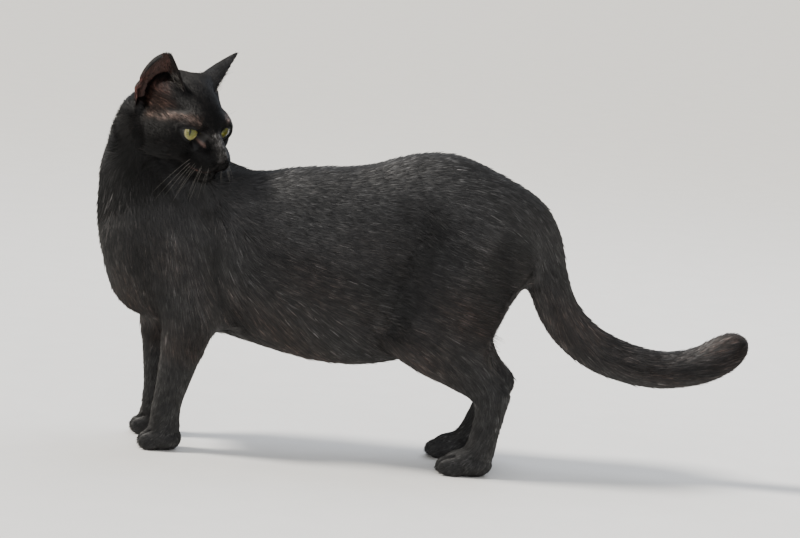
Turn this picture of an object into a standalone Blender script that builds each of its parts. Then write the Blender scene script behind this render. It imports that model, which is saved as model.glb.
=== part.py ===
"""A standing short-haired cat that looks back over its left shoulder, as life-size solids.

The cat faces -X, its left side is -Y and +Z is up. Its outline reaches to the tips of the coat.
The body is described as masses of flesh on a skeleton, each an ellipsoid or a tapered limb. They are
joined with Remesh, drawn onto one smooth surface and thinned with Decimate. The ears are curved shells
and the eyes are balls in sockets. Thin cuts then part the body into named solids.
Lengths are millimetres while the body is shaped. The finished meshes are in metres.
"""

import math

import bmesh
import bpy
import numpy as np
from mathutils import Matrix

MM = 0.001
CUT = 0.3  # gap between neighbouring solids
VOXEL = 3.0  # grain of the joined body before it is thinned
BODY_TRIANGLES = 2950

# Driving dimensions of the standing cat.
WITHERS_HEIGHT = 257.0
CROUP_HEIGHT = 280.0
BELLY_HEIGHT = 90.0
FORE_PAW_X = -141.0
HIND_PAW_X = 138.0
STANCE = 31.0  # each paw's distance from the middle plane
FORE_STEP = -20.0  # the right forepaw stands this far ahead of the left one
HIND_STEP = -16.0  # the right hind paw likewise

# The head: where the middle between the eyes is, and how the head is turned.
EYES_MIDDLE = np.array([-116.3, -38.0, 288.1])
HEAD_YAW = -35.0  # degrees from +X, so the cat looks back past its left shoulder
HEAD_PITCH = 25.0  # degrees down
EYE_SPACING = 39.0
EYE_RADIUS = 10.3
EYE_SETBACK = 5.0  # how far the eyeballs' middles lie behind the face's reference point
EYE_OUTWARD = 16.0  # degrees by which each eye's opening is turned to its own side
EYE_UPWARD = 5.0
EYE_OPENING = (5.5, 7.6, 5.8)  # half sizes of the hollow between the lids: deep, wide and high
EAR_TIPS = {-1: (-42.0, -46.0, 56.0), 1: (-46.0, 34.0, 54.0)}  # forward, right, up of the eyes
EAR_THICKNESS = 3.2
EAR_DEPTH = 15.0  # of the cup at the ear's foot
EAR_TIP_WIDTH = 2.0
EAR_ROOT = 0.22  # how far the shell reaches below the skin, as a share of its height
EAR_COLUMNS = 8
EAR_ROWS = 8

# The tail's middle line leaves the croup, hangs down and swings up again at its tip.
TAIL_RADIUS = 16.5
TAIL_PATH = (
    (160.0, 0.0, 229.0),
    (181.0, 2.0, 206.0),
    (190.0, 4.0, 172.0),
    (203.0, 6.0, 142.0),
    (228.0, 8.0, 118.0),
    (262.0, 9.0, 104.0),
    (300.0, 8.0, 100.0),
    (333.0, 6.0, 109.0),
    (357.5, 3.0, 126.5),
)
TAIL_LENGTHS = ("tail_root", "tail_fore_length", "tail_rear_length", "tail_tip")

# Leaning angles of the cuts round the shoulders and thighs, in degrees. -1 is the left side.
SHOULDER_CUT_LEAN = {-1: 7.5, 1: 16.5}
THIGH_CUT_LEAN = 11.5

COAT_BLACK = (0.012, 0.011, 0.011)
EAR_BROWN = (0.045, 0.030, 0.027)
EYE_YELLOW = (0.42, 0.45, 0.10)


def place(x, y, z):
    """A point in millimetres."""
    return np.array([x, y, z], float)


def unit(vector):
    """The vector at length 1."""
    return vector / np.linalg.norm(vector)


def axes_of_head():
    """The head's forward, right and up directions as the columns of a matrix."""
    yaw, pitch = math.radians(HEAD_YAW), math.radians(HEAD_PITCH)
    level = place(math.cos(yaw), math.sin(yaw), 0)
    up = place(0, 0, 1)
    forward = math.cos(pitch) * level - math.sin(pitch) * up
    crown = math.sin(pitch) * level + math.cos(pitch) * up
    return np.stack([forward, np.cross(forward, crown), crown], axis=1)


HEAD_AXES = axes_of_head()


def in_head(forward, right, up):
    """A point given from the middle between the eyes."""
    return EYES_MIDDLE + HEAD_AXES @ place(forward, right, up)


class Mass:
    """An ellipsoid of flesh with its own axes, and the width of its blend into what came before."""

    def __init__(self, centre, radii, blend, axes=None):
        self.centre = np.asarray(centre, float)
        self.radii = np.asarray(radii, float)
        self.blend = blend
        self.axes = np.eye(3) if axes is None else axes

    def distance(self, points):
        """About how far each point is outside the ellipsoid."""
        local = (points - self.centre) @ self.axes
        near = np.linalg.norm(local / self.radii, axis=1)
        slope = np.linalg.norm(local / self.radii**2, axis=1)
        return near * (near - 1) / np.maximum(slope, 1e-9)

    def add_to(self, mesh):
        """Adds the ellipsoid to a bmesh."""
        shape = Matrix(self.axes.tolist()).to_4x4() @ Matrix.Diagonal((*self.radii, 1))
        matrix = Matrix.Translation(self.centre) @ shape
        bmesh.ops.create_icosphere(mesh, subdivisions=3, radius=1.0, matrix=matrix)


class Limb:
    """A tapered, round-ended length of flesh from start to end. side scales its width along Y."""

    def __init__(self, start, end, radius_start, radius_end, blend, side=1.0):
        self.start = np.asarray(start, float)
        self.end = np.asarray(end, float)
        self.radius_start = radius_start
        self.radius_end = radius_end
        self.blend = blend
        self.side = side

    def distance(self, points):
        """About how far each point is outside the limb."""
        axis = self.end - self.start
        along = np.clip((points - self.start) @ axis / (axis @ axis), 0, 1)
        off = points - self.start - along[:, None] * axis
        off[:, 1] /= self.side
        radius = self.radius_start + (self.radius_end - self.radius_start) * along
        return np.linalg.norm(off, axis=1) - radius

    def add_to(self, mesh):
        """Adds the hull of its two round ends to a bmesh."""
        hull = bmesh.new()
        for centre, radius in ((self.start, self.radius_start), (self.end, self.radius_end)):
            size = Matrix.Diagonal((radius, radius * self.side, radius, 1))
            matrix = Matrix.Translation(centre) @ size
            bmesh.ops.create_icosphere(hull, subdivisions=3, radius=1.0, matrix=matrix)
        bmesh.ops.delete(hull, geom=hull.faces[:], context="FACES_ONLY")
        bmesh.ops.convex_hull(hull, input=hull.verts)
        bmesh.ops.delete(hull, geom=[v for v in hull.verts if not v.link_faces], context="VERTS")
        made = bpy.data.meshes.new("limb")
        hull.to_mesh(made)
        hull.free()
        mesh.from_mesh(made)
        bpy.data.meshes.remove(made)


def trunk_masses():
    """Ribcage, back, belly, croup and chest."""
    back = WITHERS_HEIGHT - 40.0
    loin = CROUP_HEIGHT - 45.0
    return [
        Mass(place(-95, 0, 178), (92, 46, 62), 10),
        Mass(place(-5, 0, 170), (92, 54, 76), 30),
        Mass(place(40, 0, 172), (80, 50, 75), 30),
        Mass(place(0, 0, BELLY_HEIGHT + 38), (86, 40, 37), 26),
        Limb(place(-112, 4, back), place(-30, 0, back + 2), 30, 33, 24, 0.9),
        Limb(place(-30, 0, back + 2), place(70, 0, loin), 33, 37, 24, 0.95),
        Limb(place(70, 0, loin), place(98, 0, loin + 1), 37, 38, 24, 0.95),
        Limb(place(98, 0, loin + 1), place(136, 0, loin - 11), 38, 36, 24, 0.95),
        Mass(place(118, 0, 205), (56, 44, 53), 26),
        Mass(place(153, 0, 207), (30, 31, 40), 20),
        Mass(place(-160, 0, 188), (52, 43, 60), 30),
        Limb(place(-168, 0, 146), place(-70, 0, 138), 30, 30, 26),
    ]


def neck_masses():
    """The raised neck, which leans ahead of the shoulders and turns with the head."""
    return [
        Mass(place(-166, -2, 222), (49, 42, 48), 26),
        Mass(place(-168, -6, 257), (45, 40, 42), 22),
        Mass(place(-163, -11, 291), (40, 38, 36), 20),
        Limb(place(-150, 8, 268), place(-116, 8, 226), 28, 28, 24),
    ]


def head_masses():
    """Skull, cheeks, muzzle and chin, from the middle between the eyes."""

    def lump(forward, right, up, radii, blend):
        return Mass(in_head(forward, right, up), radii, blend, HEAD_AXES)

    masses = [
        lump(-38, 0, 4, (38, 33, 29), 14),
        lump(-14, 0, 8, (22, 22, 14), 10),
        Limb(in_head(-2, 0, 2), in_head(22, 0, -9), 11.5, 8.5, 8),
        lump(27, 0, -11.5, (7.5, 7.5, 6.0), 5),
        Limb(in_head(-24, 0, -20), in_head(12, 0, -28), 18, 11, 10),
        lump(18, 0, -31.5, (9.5, 10, 8), 6),
    ]
    for side in (-1, 1):
        masses += [
            lump(-18, side * 21, -10, (23, 15, 16), 9),
            lump(-27, side * 21, -15, (26, 18, 22), 12),
            lump(7, side * 12.0, -18, (17, 12, 12), 7),
            lump(-13, side * 25, -1, (15, 8, 11), 6),
            lump(20, side * 8.5, -18, (12.5, 11, 9.5), 5),
            lump(-5, side * 16, 8.5, (12, 12, 6.0), 6),
            lump(-40, side * 22, 16, (16, 13, 16), 10),
        ]
    return masses


def foreleg_joints(side):
    """The shoulder, elbow, wrist and paw. side is -1 for the left and 1 for the right."""
    step = FORE_STEP if side > 0 else 0.0
    shoulder = place(-170 + 0.4 * step, side * 30, 188)
    elbow = place(-121 + 1.9 * step, side * 36, 128)
    paw = place(FORE_PAW_X + step, side * STANCE, 0)
    return shoulder, elbow, paw + place(-1, 0, 32), paw


def hindleg_joints(side):
    """The hip, knee, hock and paw."""
    step = HIND_STEP if side > 0 else 0.0
    hip = place(120, side * 25, 205)
    knee = place(80 + 0.4 * step, side * 41, 118)
    hock = place(152 + 0.1 * step, side * 34, 73)
    return hip, knee, hock, place(HIND_PAW_X + step, side * (STANCE + 3), 0)


def foreleg_masses(side):
    """Shoulder, upper arm, forearm and paw."""
    shoulder, elbow, wrist, paw = foreleg_joints(side)
    triceps = place(0.45 * (elbow[0] - shoulder[0]) + shoulder[0] + 30, side * 33, 188)
    return [
        Limb(place(-100, side * 21, 206), shoulder, 24, 33, 18, 0.72),
        Limb(shoulder, elbow, 32, 26, 16, 0.72),
        Limb(triceps, elbow + place(5, 0, 4), 26, 20, 16, 0.75),
        Limb(elbow, wrist + place(1, 0, 8), 23, 13.0, 10, 0.86),
        Limb(wrist, paw + place(0, 0, 15), 13.0, 13.5, 6, 0.95),
    ] + paw_masses(paw + place(3, 0, 0), 0.94)


def hindleg_masses(side):
    """Thigh, shank, hock, foot and paw."""
    hip, knee, hock, paw = hindleg_joints(side)
    seat = place(148, side * 22, 196)
    calf = knee + 0.45 * (hock - knee) + place(10, 0, 12)
    return [
        Limb(hip, knee + place(8, 0, 10), 48, 27, 20, 0.62),
        Limb(seat, calf, 29, 21, 18, 0.66),
        Limb(knee, hock, 24, 13.5, 12, 0.82),
        Limb(calf, hock + place(4, 0, 3), 17, 8, 10, 0.8),
        Limb(hock, paw + place(3, 0, 16), 13.5, 13.0, 7, 0.92),
    ] + paw_masses(paw, 1.2)


def paw_masses(paw, stretch):
    """The paw's body and its four toes. paw is the floor point under the ankle."""
    masses = [Mass(paw + place(-6 * stretch, 0, 10.5), (19 * stretch, 14.5, 13), 5)]
    for number in range(4):
        outward = number - 1.5
        reach = 20.5 - 3.0 * abs(outward)
        centre = paw + place(-reach * stretch, 7.2 * outward, 7.2)
        masses.append(Mass(centre, (10.5 * stretch, 5.0, 8.4), 1.8))
    return masses


def tail_masses():
    """The tail as a chain of short lengths, with a blunt tip."""
    points = smooth_path(TAIL_PATH, 5)
    last = len(points) - 1
    masses = []
    for number in range(last):
        swell = [tail_radius(step / last) for step in (number, number + 1)]
        masses.append(Limb(points[number], points[number + 1], *swell, 9 if number < 4 else 5))
    return masses


def tail_radius(share):
    """The tail's radius at a share of its length: wide at the croup, slimmest before its tip."""
    root = 6.0 * max(0.0, 1 - share / 0.22) ** 1.5
    slim = 1.8 * math.exp(-(((share - 0.78) / 0.13) ** 2))
    tip = 1.5 * max(0.0, (share - 0.9) / 0.1) ** 2
    return TAIL_RADIUS + root + 0.8 * math.sin(math.pi * share) - slim - tip


def smooth_path(corners, between):
    """Points on a Catmull-Rom curve through the corners, with that many steps from one to the next."""
    corners = [np.asarray(c, float) for c in corners]
    ends = [2 * corners[0] - corners[1], *corners, 2 * corners[-1] - corners[-2]]
    points = []
    for a, b, c, d in zip(ends, ends[1:], ends[2:], ends[3:], strict=False):
        for number in range(between):
            t = number / between
            points.append(
                b
                + 0.5 * t * (c - a)
                + t * t * (a - 2.5 * b + 2 * c - 0.5 * d)
                + t**3 * (1.5 * (b - c) + 0.5 * (d - a))
            )
    return [*points, corners[-1]]


def body_masses():
    """Every mass apart from the head, in the order in which they blend."""
    masses = trunk_masses() + neck_masses()
    for side in (-1, 1):
        masses += foreleg_masses(side) + hindleg_masses(side)
    return masses + tail_masses()


def blended(total, found, blend):
    """The smooth union of two distances."""
    share = np.clip(0.5 + 0.5 * (total - found) / blend, 0, 1)
    return total + (found - total) * share - blend * share * (1 - share)


def joined_distance(points, masses):
    """How far each point is outside the blended masses."""
    total = np.full(len(points), 1e3)
    for mass in masses:
        total = blended(total, mass.distance(points), mass.blend)
    return total


def field(points, body, head):
    """How far each point is outside the cat. The head blends into the neck behind it, and its chin
    stays clear of the shoulder."""
    ahead = (points - EYES_MIDDLE) @ HEAD_AXES[:, 0]
    nape = np.clip((-8 - ahead) / 30, 0, 1)
    return blended(joined_distance(points, body), joined_distance(points, head), 0.5 + 15 * nape)


def drawn_onto_field(points, body, head, rounds):
    """The points moved along the field's slope until they lie on its surface."""
    step = 0.2
    for _ in range(rounds):
        here = field(points, body, head)
        slope = np.stack(
            [(field(points + step * axis, body, head) - here) / step for axis in np.eye(3)], axis=1
        )
        steep = np.maximum((slope**2).sum(axis=1), 0.2)
        points = points - np.clip(here / steep, -3, 3)[:, None] * slope
    return points


def positions(mesh):
    """A mesh's vertices as an array."""
    found = np.empty(len(mesh.vertices) * 3)
    mesh.vertices.foreach_get("co", found)
    return found.reshape(-1, 3)


def relaxed(points, edges):
    """Each point halfway to the middle of its neighbours."""
    total = np.zeros_like(points)
    count = np.zeros(len(points))
    for a, b in ((0, 1), (1, 0)):
        np.add.at(total, edges[:, a], points[edges[:, b]])
        np.add.at(count, edges[:, a], 1)
    return 0.5 * points + 0.5 * total / np.maximum(count, 1)[:, None]


def new_object(name, mesh, collection):
    """A linked object that holds the mesh."""
    made = bpy.data.objects.new(name, mesh)
    collection.objects.link(made)
    return made


def evaluated_mesh(thing):
    """A new mesh of the object with its modifiers applied."""
    graph = bpy.context.evaluated_depsgraph_get()
    graph.update()
    return bpy.data.meshes.new_from_object(thing.evaluated_get(graph))


def apply_modifiers(thing):
    """Replaces the object's mesh with its evaluated one."""
    mesh = evaluated_mesh(thing)
    thing.modifiers.clear()
    thing.data = mesh


def whole_body(collection):
    """The body as one closed mesh in millimetres: joined, drawn onto the smooth surface, thinned."""
    body_parts, head_parts = body_masses(), head_masses()
    joined = bmesh.new()
    for mass in body_parts + head_parts:
        mass.add_to(joined)
    mesh = bpy.data.meshes.new("body")
    joined.to_mesh(mesh)
    joined.free()
    body = new_object("body", mesh, collection)
    remesh = body.modifiers.new("join", "REMESH")
    remesh.mode = "VOXEL"
    remesh.voxel_size = VOXEL
    apply_modifiers(body)
    edges = np.array([edge.vertices[:] for edge in body.data.edges])
    points = positions(body.data)
    for _ in range(3):
        points = drawn_onto_field(relaxed(points, edges), body_parts, head_parts, 3)
    body.data.vertices.foreach_set("co", points.ravel())
    body.data.update()
    coarse = body.vertex_groups.new(name="coarse")
    for index, point in enumerate(points):
        near_face = np.linalg.norm(point - in_head(0, 0, -8)) < 52
        keep = 0.12 if near_face else 0.3 if point[2] < 34 else 1.0
        coarse.add([index], keep, "REPLACE")
    thin = body.modifiers.new("thin", "DECIMATE")
    thin.ratio = BODY_TRIANGLES / (2 * len(body.data.polygons))
    thin.vertex_group = coarse.name
    thin.vertex_group_factor = 1.0
    apply_modifiers(body)
    return body


def ear_section(inner, outer, depth, side):
    """The crescent-shaped section of an ear between its two edges, as a ring of points."""
    behind = unit(place(-0.95, -side * 0.3, 0.05))
    middle, half = (inner + outer) / 2, (outer - inner) / 2
    across, width = unit(half), np.linalg.norm(half)
    bow = max(depth, 0.6 * EAR_THICKNESS)
    ring = []
    for reach, angles in ((0.5, range(EAR_COLUMNS + 1)), (-0.5, range(EAR_COLUMNS, -1, -1))):
        thick = reach * EAR_THICKNESS
        for column in angles:
            angle = math.pi * column / EAR_COLUMNS
            aside = max(width + thick, 0.3) * math.cos(angle)
            back = (bow + thick) * math.sin(angle)
            ring.append(middle - aside * across + back * behind)
    return ring


def ear_shell(name, side, tip, collection):
    """A closed cupped ear in millimetres, from below the skin of the head up to its tip."""
    inner_foot, outer_foot = place(-26, side * 16, 27), place(-52, side * 37, 2)
    outward = unit(outer_foot - inner_foot)
    mesh = bmesh.new()
    rings = []
    for row in range(EAR_ROWS + 1):
        height = (1 + EAR_ROOT) * row / EAR_ROWS - EAR_ROOT
        swell = 2.5 * math.sin(math.pi * max(height, 0))
        inner = inner_foot + (tip - inner_foot) * height - swell * outward
        outer = outer_foot + (tip - outer_foot) * height + 1.6 * swell * outward
        narrow = min(1.0, 3.2 * (1.04 - height)) ** 0.5
        middle = (inner + outer) / 2
        half = (outer - inner) / 2 * narrow + EAR_TIP_WIDTH / 2 * outward
        depth = EAR_DEPTH * (1 - max(height, 0)) ** 0.8
        section = ear_section(middle - half, middle + half, depth, side)
        rings.append([mesh.verts.new(in_head(*point)) for point in section])
    around = len(rings[0])
    for lower, upper in zip(rings, rings[1:], strict=False):
        for number in range(around):
            after = (number + 1) % around
            mesh.faces.new((lower[number], lower[after], upper[after], upper[number]))
    mesh.faces.new(rings[0][::-1])
    mesh.faces.new(rings[-1])
    bmesh.ops.triangulate(mesh, faces=mesh.faces[:])
    bmesh.ops.recalc_face_normals(mesh, faces=mesh.faces[:])
    data = bpy.data.meshes.new(name)
    mesh.to_mesh(data)
    mesh.free()
    return new_object(name, data, collection)


def ellipsoid_cutter(name, centre, radii, axes, grow, collection):
    """A cutting ellipsoid, larger by grow all round."""
    mesh = bmesh.new()
    shape = Matrix(axes.tolist()).to_4x4() @ Matrix.Diagonal((*(radius + grow for radius in radii), 1))
    matrix = Matrix.Translation(centre) @ shape
    bmesh.ops.create_icosphere(mesh, subdivisions=3, radius=1.0, matrix=matrix)
    return cutter_from(name, mesh, collection)


def block_cutter(name, centre, half, axes, grow, collection):
    """A cutting box given by its half sizes, larger by grow all round."""
    mesh = bmesh.new()
    shape = Matrix(axes.tolist()).to_4x4() @ Matrix.Diagonal((*(2 * (size + grow) for size in half), 1))
    matrix = Matrix.Translation(centre) @ shape
    bmesh.ops.create_cube(mesh, size=1.0, matrix=matrix)
    return cutter_from(name, mesh, collection)


def cutter_from(name, mesh, collection):
    """A hidden wire-drawn object of the bmesh."""
    bmesh.ops.recalc_face_normals(mesh, faces=mesh.faces[:])
    data = bpy.data.meshes.new(name)
    mesh.to_mesh(data)
    mesh.free()
    cutter = new_object(name, data, collection)
    cutter.hide_render = True
    cutter.display_type = "WIRE"
    return cutter


def cut(thing, cutter, operation="DIFFERENCE"):
    """Cuts the object, joins it to or keeps what it shares with the cutter."""
    boolean = thing.modifiers.new("cut", "BOOLEAN")
    boolean.solver = "EXACT"
    boolean.operation = operation
    boolean.object = cutter
    apply_modifiers(thing)


def islands(mesh):
    """The separate bodies of a mesh as lists of vertex numbers."""
    links = [[] for _ in mesh.vertices]
    for edge in mesh.edges:
        a, b = edge.vertices
        links[a].append(b)
        links[b].append(a)
    seen = [False] * len(links)
    found = []
    for start in range(len(links)):
        if seen[start]:
            continue
        seen[start] = True
        island, waiting = [], [start]
        while waiting:
            here = waiting.pop()
            island.append(here)
            for other in links[here]:
                if not seen[other]:
                    seen[other] = True
                    waiting.append(other)
        found.append(island)
    return found


def without(mesh, numbers):
    """A copy of the mesh with those vertices removed."""
    copy = bmesh.new()
    copy.from_mesh(mesh)
    copy.verts.ensure_lookup_table()
    bmesh.ops.delete(copy, geom=[copy.verts[number] for number in numbers], context="VERTS")
    made = bpy.data.meshes.new(mesh.name)
    copy.to_mesh(made)
    copy.free()
    return made


def part_off(rest, name, seed, cutter, collection):
    """Cuts rest with a thin slab and gives the body nearest to seed as an object of its own."""
    cut(rest, cutter)
    points = positions(rest.data)
    bodies = islands(rest.data)
    nearest = min(bodies, key=lambda body: np.linalg.norm(points[body] - seed, axis=1).min())
    others = [number for body in bodies if body is not nearest for number in body]
    piece = new_object(name, without(rest.data, others), collection)
    rest.data = without(rest.data, nearest)
    return piece


def take_out(rest, name, cutters, grown_cutters, collection):
    """Gives what rest shares with the cutter as an object of its own, with a thin gap left round it."""
    piece = new_object(name, rest.data.copy(), collection)
    cut(piece, cutters, "INTERSECT")
    cut(rest, grown_cutters)
    return piece


def slab(name, centre, normal, across, half, collection):
    """A slab as thin as the gap, square to normal. half gives its half sizes along across and beyond."""
    normal = unit(normal)
    across = unit(across - (across @ normal) * normal)
    axes = np.stack([across, np.cross(normal, across), normal], axis=1)
    return block_cutter(name, centre, (half[0], half[1], CUT / 2), axes, 0.0, collection)


def turned_about_y(degrees):
    """Axes turned about Y, so that the upright one leans towards +X, as the columns of a matrix."""
    level = math.cos(math.radians(degrees))
    lean = math.sin(math.radians(degrees))
    return np.stack([place(level, 0, -lean), place(0, 1, 0), place(lean, 0, level)], axis=1)


def head_and_rest(body, cat, cutters):
    """Parts the head from the body along a rounded cut behind the skull and under the jaw."""
    both = []
    for grow in (0.0, CUT):
        skull = ellipsoid_cutter("skull", in_head(-34, 0, 2), (47, 50, 44), HEAD_AXES, grow, cutters)
        jaw = ellipsoid_cutter("jaw", in_head(8, 0, -14), (36, 32, 28.5), HEAD_AXES, grow, cutters)
        cut(skull, jaw, "UNION")
        both.append(skull)
    return take_out(body, "head", *both, cat)


def tail_lengths(rest, cat, cutters):
    """Parts the tail from the croup and into its lengths, from the tip inwards."""
    points = smooth_path(TAIL_PATH, 5)
    pieces = []
    for name, number in zip(reversed(TAIL_LENGTHS[1:]), (32, 24, 15), strict=True):
        along = points[number + 1] - points[number - 1]
        thin = slab("tail_cut", points[number], along, place(0, 1, 0), (30, 30), cutters)
        pieces.append(part_off(rest, name, points[number + 5], thin, cat))
    root = slab("tail_root_cut", place(173, 1, 206), place(1, 0, 0), place(0, 1, 0), (46, 58), cutters)
    pieces.append(part_off(rest, TAIL_LENGTHS[0], points[12], root, cat))
    return pieces


def foreleg_pieces(rest, side, cat, cutters):
    """Parts a foreleg into paw, forearm and upper arm with the shoulder."""
    name = "foreleg_left_" if side < 0 else "foreleg_right_"
    shoulder, elbow, wrist, paw = foreleg_joints(side)
    level, across = place(0, 0, 1), place(0, 1, 0)
    ankle = wrist + place(0, 0, -6)
    thin = slab("wrist_cut", ankle, level, across, (22, 22), cutters)
    pieces = [part_off(rest, name + "paw", paw, thin, cat)]
    below_elbow = elbow + 0.28 * (wrist - elbow)
    thin = slab("elbow_cut", below_elbow, level, across, (26, 27), cutters)
    pieces.append(part_off(rest, name + "forearm", wrist, thin, cat))
    leaning = turned_about_y(SHOULDER_CUT_LEAN[side])
    middle = place((shoulder[0] + elbow[0]) / 2 - 12, side * 47, 165)
    blocks = [
        block_cutter("shoulder_block", middle, (66, 25, 62), leaning, grow, cutters)
        for grow in (0.0, CUT)
    ]
    return [*pieces, take_out(rest, name + "upper_arm", *blocks, cat)]


def hindleg_pieces(rest, side, cat, cutters):
    """Parts a hind leg into paw, foot, shank and thigh."""
    name = "hindleg_left_" if side < 0 else "hindleg_right_"
    hip, knee, hock, paw = hindleg_joints(side)
    along, outward = unit((hock - knee) * place(1, 0, 1)), place(0, 1, 0)
    shank_axes = np.stack([along, outward, np.cross(along, outward)], axis=1)
    middle = place(knee[0] + 12, side * 41.5, knee[2] - 8) + shank_axes @ place(65, 0, -38)
    blocks = [
        block_cutter("shank_block", middle, (65, 38.5, 62), shank_axes, grow, cutters)
        for grow in (0.0, CUT)
    ]
    lower = take_out(rest, name + "shank", *blocks, cat)
    thin = slab("ankle_cut", paw + place(6, 0, 27), place(0, 0, 1), outward, (22, 24), cutters)
    pieces = [part_off(lower, name + "paw", paw, thin, cat)]
    below_hock = hock + 0.24 * (paw - hock)
    thin = slab("hock_cut", below_hock, paw - hock, outward, (24, 26), cutters)
    pieces.append(part_off(lower, name + "foot", (paw + hock) / 2, thin, cat))
    middle = hip + place(2, side * 22, -43)
    blocks = [
        block_cutter("thigh_block", middle, (62, 25, 80), turned_about_y(THIGH_CUT_LEAN), grow, cutters)
        for grow in (0.0, CUT)
    ]
    return [*pieces, lower, take_out(rest, name + "thigh", *blocks, cat)]


def swollen(thing, by, cutters):
    """A cutter of the object's shape, larger by that much all round."""
    mesh = bmesh.new()
    mesh.from_mesh(thing.data)
    for vertex in mesh.verts:
        vertex.co += vertex.normal * by
    return cutter_from("swollen_" + thing.name, mesh, cutters)


def axes_of_eye(side):
    """The directions ahead of, across and above an eye as the columns of a matrix."""
    aside, above = math.radians(EYE_OUTWARD), math.radians(EYE_UPWARD)
    ahead = place(
        math.cos(aside) * math.cos(above), side * math.sin(aside) * math.cos(above), math.sin(above)
    )
    across = unit(np.cross(place(0, 0, 1), ahead))
    return HEAD_AXES @ np.stack([ahead, across, np.cross(ahead, across)], axis=1)


def eyes_and_sockets(head, cat, cutters):
    """Two eyeballs, each in a socket that opens between the lids. The right eye has the plus side."""
    eyes = []
    for side, name in ((-1, "eye_left"), (1, "eye_right")):
        centre = in_head(-EYE_SETBACK, side * EYE_SPACING / 2, 0)
        axes = axes_of_eye(side)
        opening = centre + 7.0 * axes[:, 0]
        socket = ellipsoid_cutter("socket", centre, (EYE_RADIUS,) * 3, HEAD_AXES, CUT, cutters)
        cut(socket, ellipsoid_cutter("lids", opening, EYE_OPENING, axes, CUT, cutters), "UNION")
        cut(head, socket)
        mesh = bmesh.new()
        matrix = Matrix.Translation(centre) @ Matrix(HEAD_AXES.tolist()).to_4x4()
        bmesh.ops.create_icosphere(mesh, subdivisions=3, radius=EYE_RADIUS, matrix=matrix)
        bmesh.ops.recalc_face_normals(mesh, faces=mesh.faces[:])
        data = bpy.data.meshes.new(name)
        mesh.to_mesh(data)
        mesh.free()
        eyes.append(new_object(name, data, cat))
    return eyes


def finish(pieces, cat):
    """Stands the cat on the floor with its middle at the origin, in metres, and gives it its colours."""
    every = np.concatenate([positions(piece.data) for piece in pieces])
    low, high = every.min(axis=0), every.max(axis=0)
    origin = place((low[0] + high[0]) / 2, (low[1] + high[1]) / 2, low[2])
    stand = bpy.data.objects.new("cat_origin", None)
    cat.objects.link(stand)
    for piece in pieces:
        points = positions(piece.data)
        middle = (points.min(axis=0) + points.max(axis=0)) / 2
        piece.data.vertices.foreach_set("co", ((points - middle) * MM).ravel())
        piece.data.update()
        piece.location = (middle - origin) * MM
        piece.parent = stand
        piece.data.shade_smooth()
        piece.data.set_sharp_from_angle(angle=math.radians(40))
        paint(piece)


def paint(piece):
    """A Principled material in the colour of that part of the cat."""
    colour, roughness = COAT_BLACK, 0.45
    if piece.name.startswith("ear"):
        colour, roughness = EAR_BROWN, 0.6
    if piece.name.startswith("eye"):
        colour, roughness = EYE_YELLOW, 0.08
    material = bpy.data.materials.new(piece.name)
    material.use_nodes = True
    shader = material.node_tree.nodes["Principled BSDF"]
    shader.inputs["Base Color"].default_value = (*colour, 1)
    shader.inputs["Roughness"].default_value = roughness
    shader.inputs["Metallic"].default_value = 0.0
    piece.data.materials.clear()
    piece.data.materials.append(material)


def build():
    """Models the whole cat."""
    for old in list(bpy.data.objects):
        bpy.data.objects.remove(old)
    cat = bpy.data.collections.new("cat")
    cutters = bpy.data.collections.new("cutters")
    for collection in (cat, cutters):
        bpy.context.scene.collection.children.link(collection)
    trunk = whole_body(cat)
    floor = block_cutter("floor", place(0, 0, -50), (600, 200, 50), np.eye(3), 0.0, cutters)
    cut(trunk, floor)
    head = head_and_rest(trunk, cat, cutters)
    middle, slope = place(-163.5, 0, 233.5), place(-0.49, 0, 0.87)
    thin = slab("neck_cut", middle, slope, place(0, 1, 0), (62, 72), cutters)
    neck = part_off(trunk, "neck", place(-165, 0, 270), thin, cat)
    pieces = [trunk, head, neck, *tail_lengths(trunk, cat, cutters)]
    for side in (-1, 1):
        pieces += foreleg_pieces(trunk, side, cat, cutters)
        pieces += hindleg_pieces(trunk, side, cat, cutters)
    trunk.name = "trunk"
    pieces += eyes_and_sockets(head, cat, cutters)
    skins = [swollen(piece, CUT, cutters) for piece in (head, neck)]
    for name, side in (("ear_left", -1), ("ear_right", 1)):
        ear = ear_shell(name, side, place(*EAR_TIPS[side]), cat)
        for skin in skins:
            cut(ear, skin)
        pieces.append(ear)
    finish(pieces, cat)


build()
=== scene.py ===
"""The looks of a life-size cat with a short black coat, standing and looking back past its shoulder.

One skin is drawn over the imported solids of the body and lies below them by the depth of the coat.
Tapered tufts of fur grow from it along the lie of the coat. Eyes, claws and whiskers are pieces of
their own. Lengths of the head are millimetres in the head's own axes, and world lengths are metres.
"""

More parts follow.
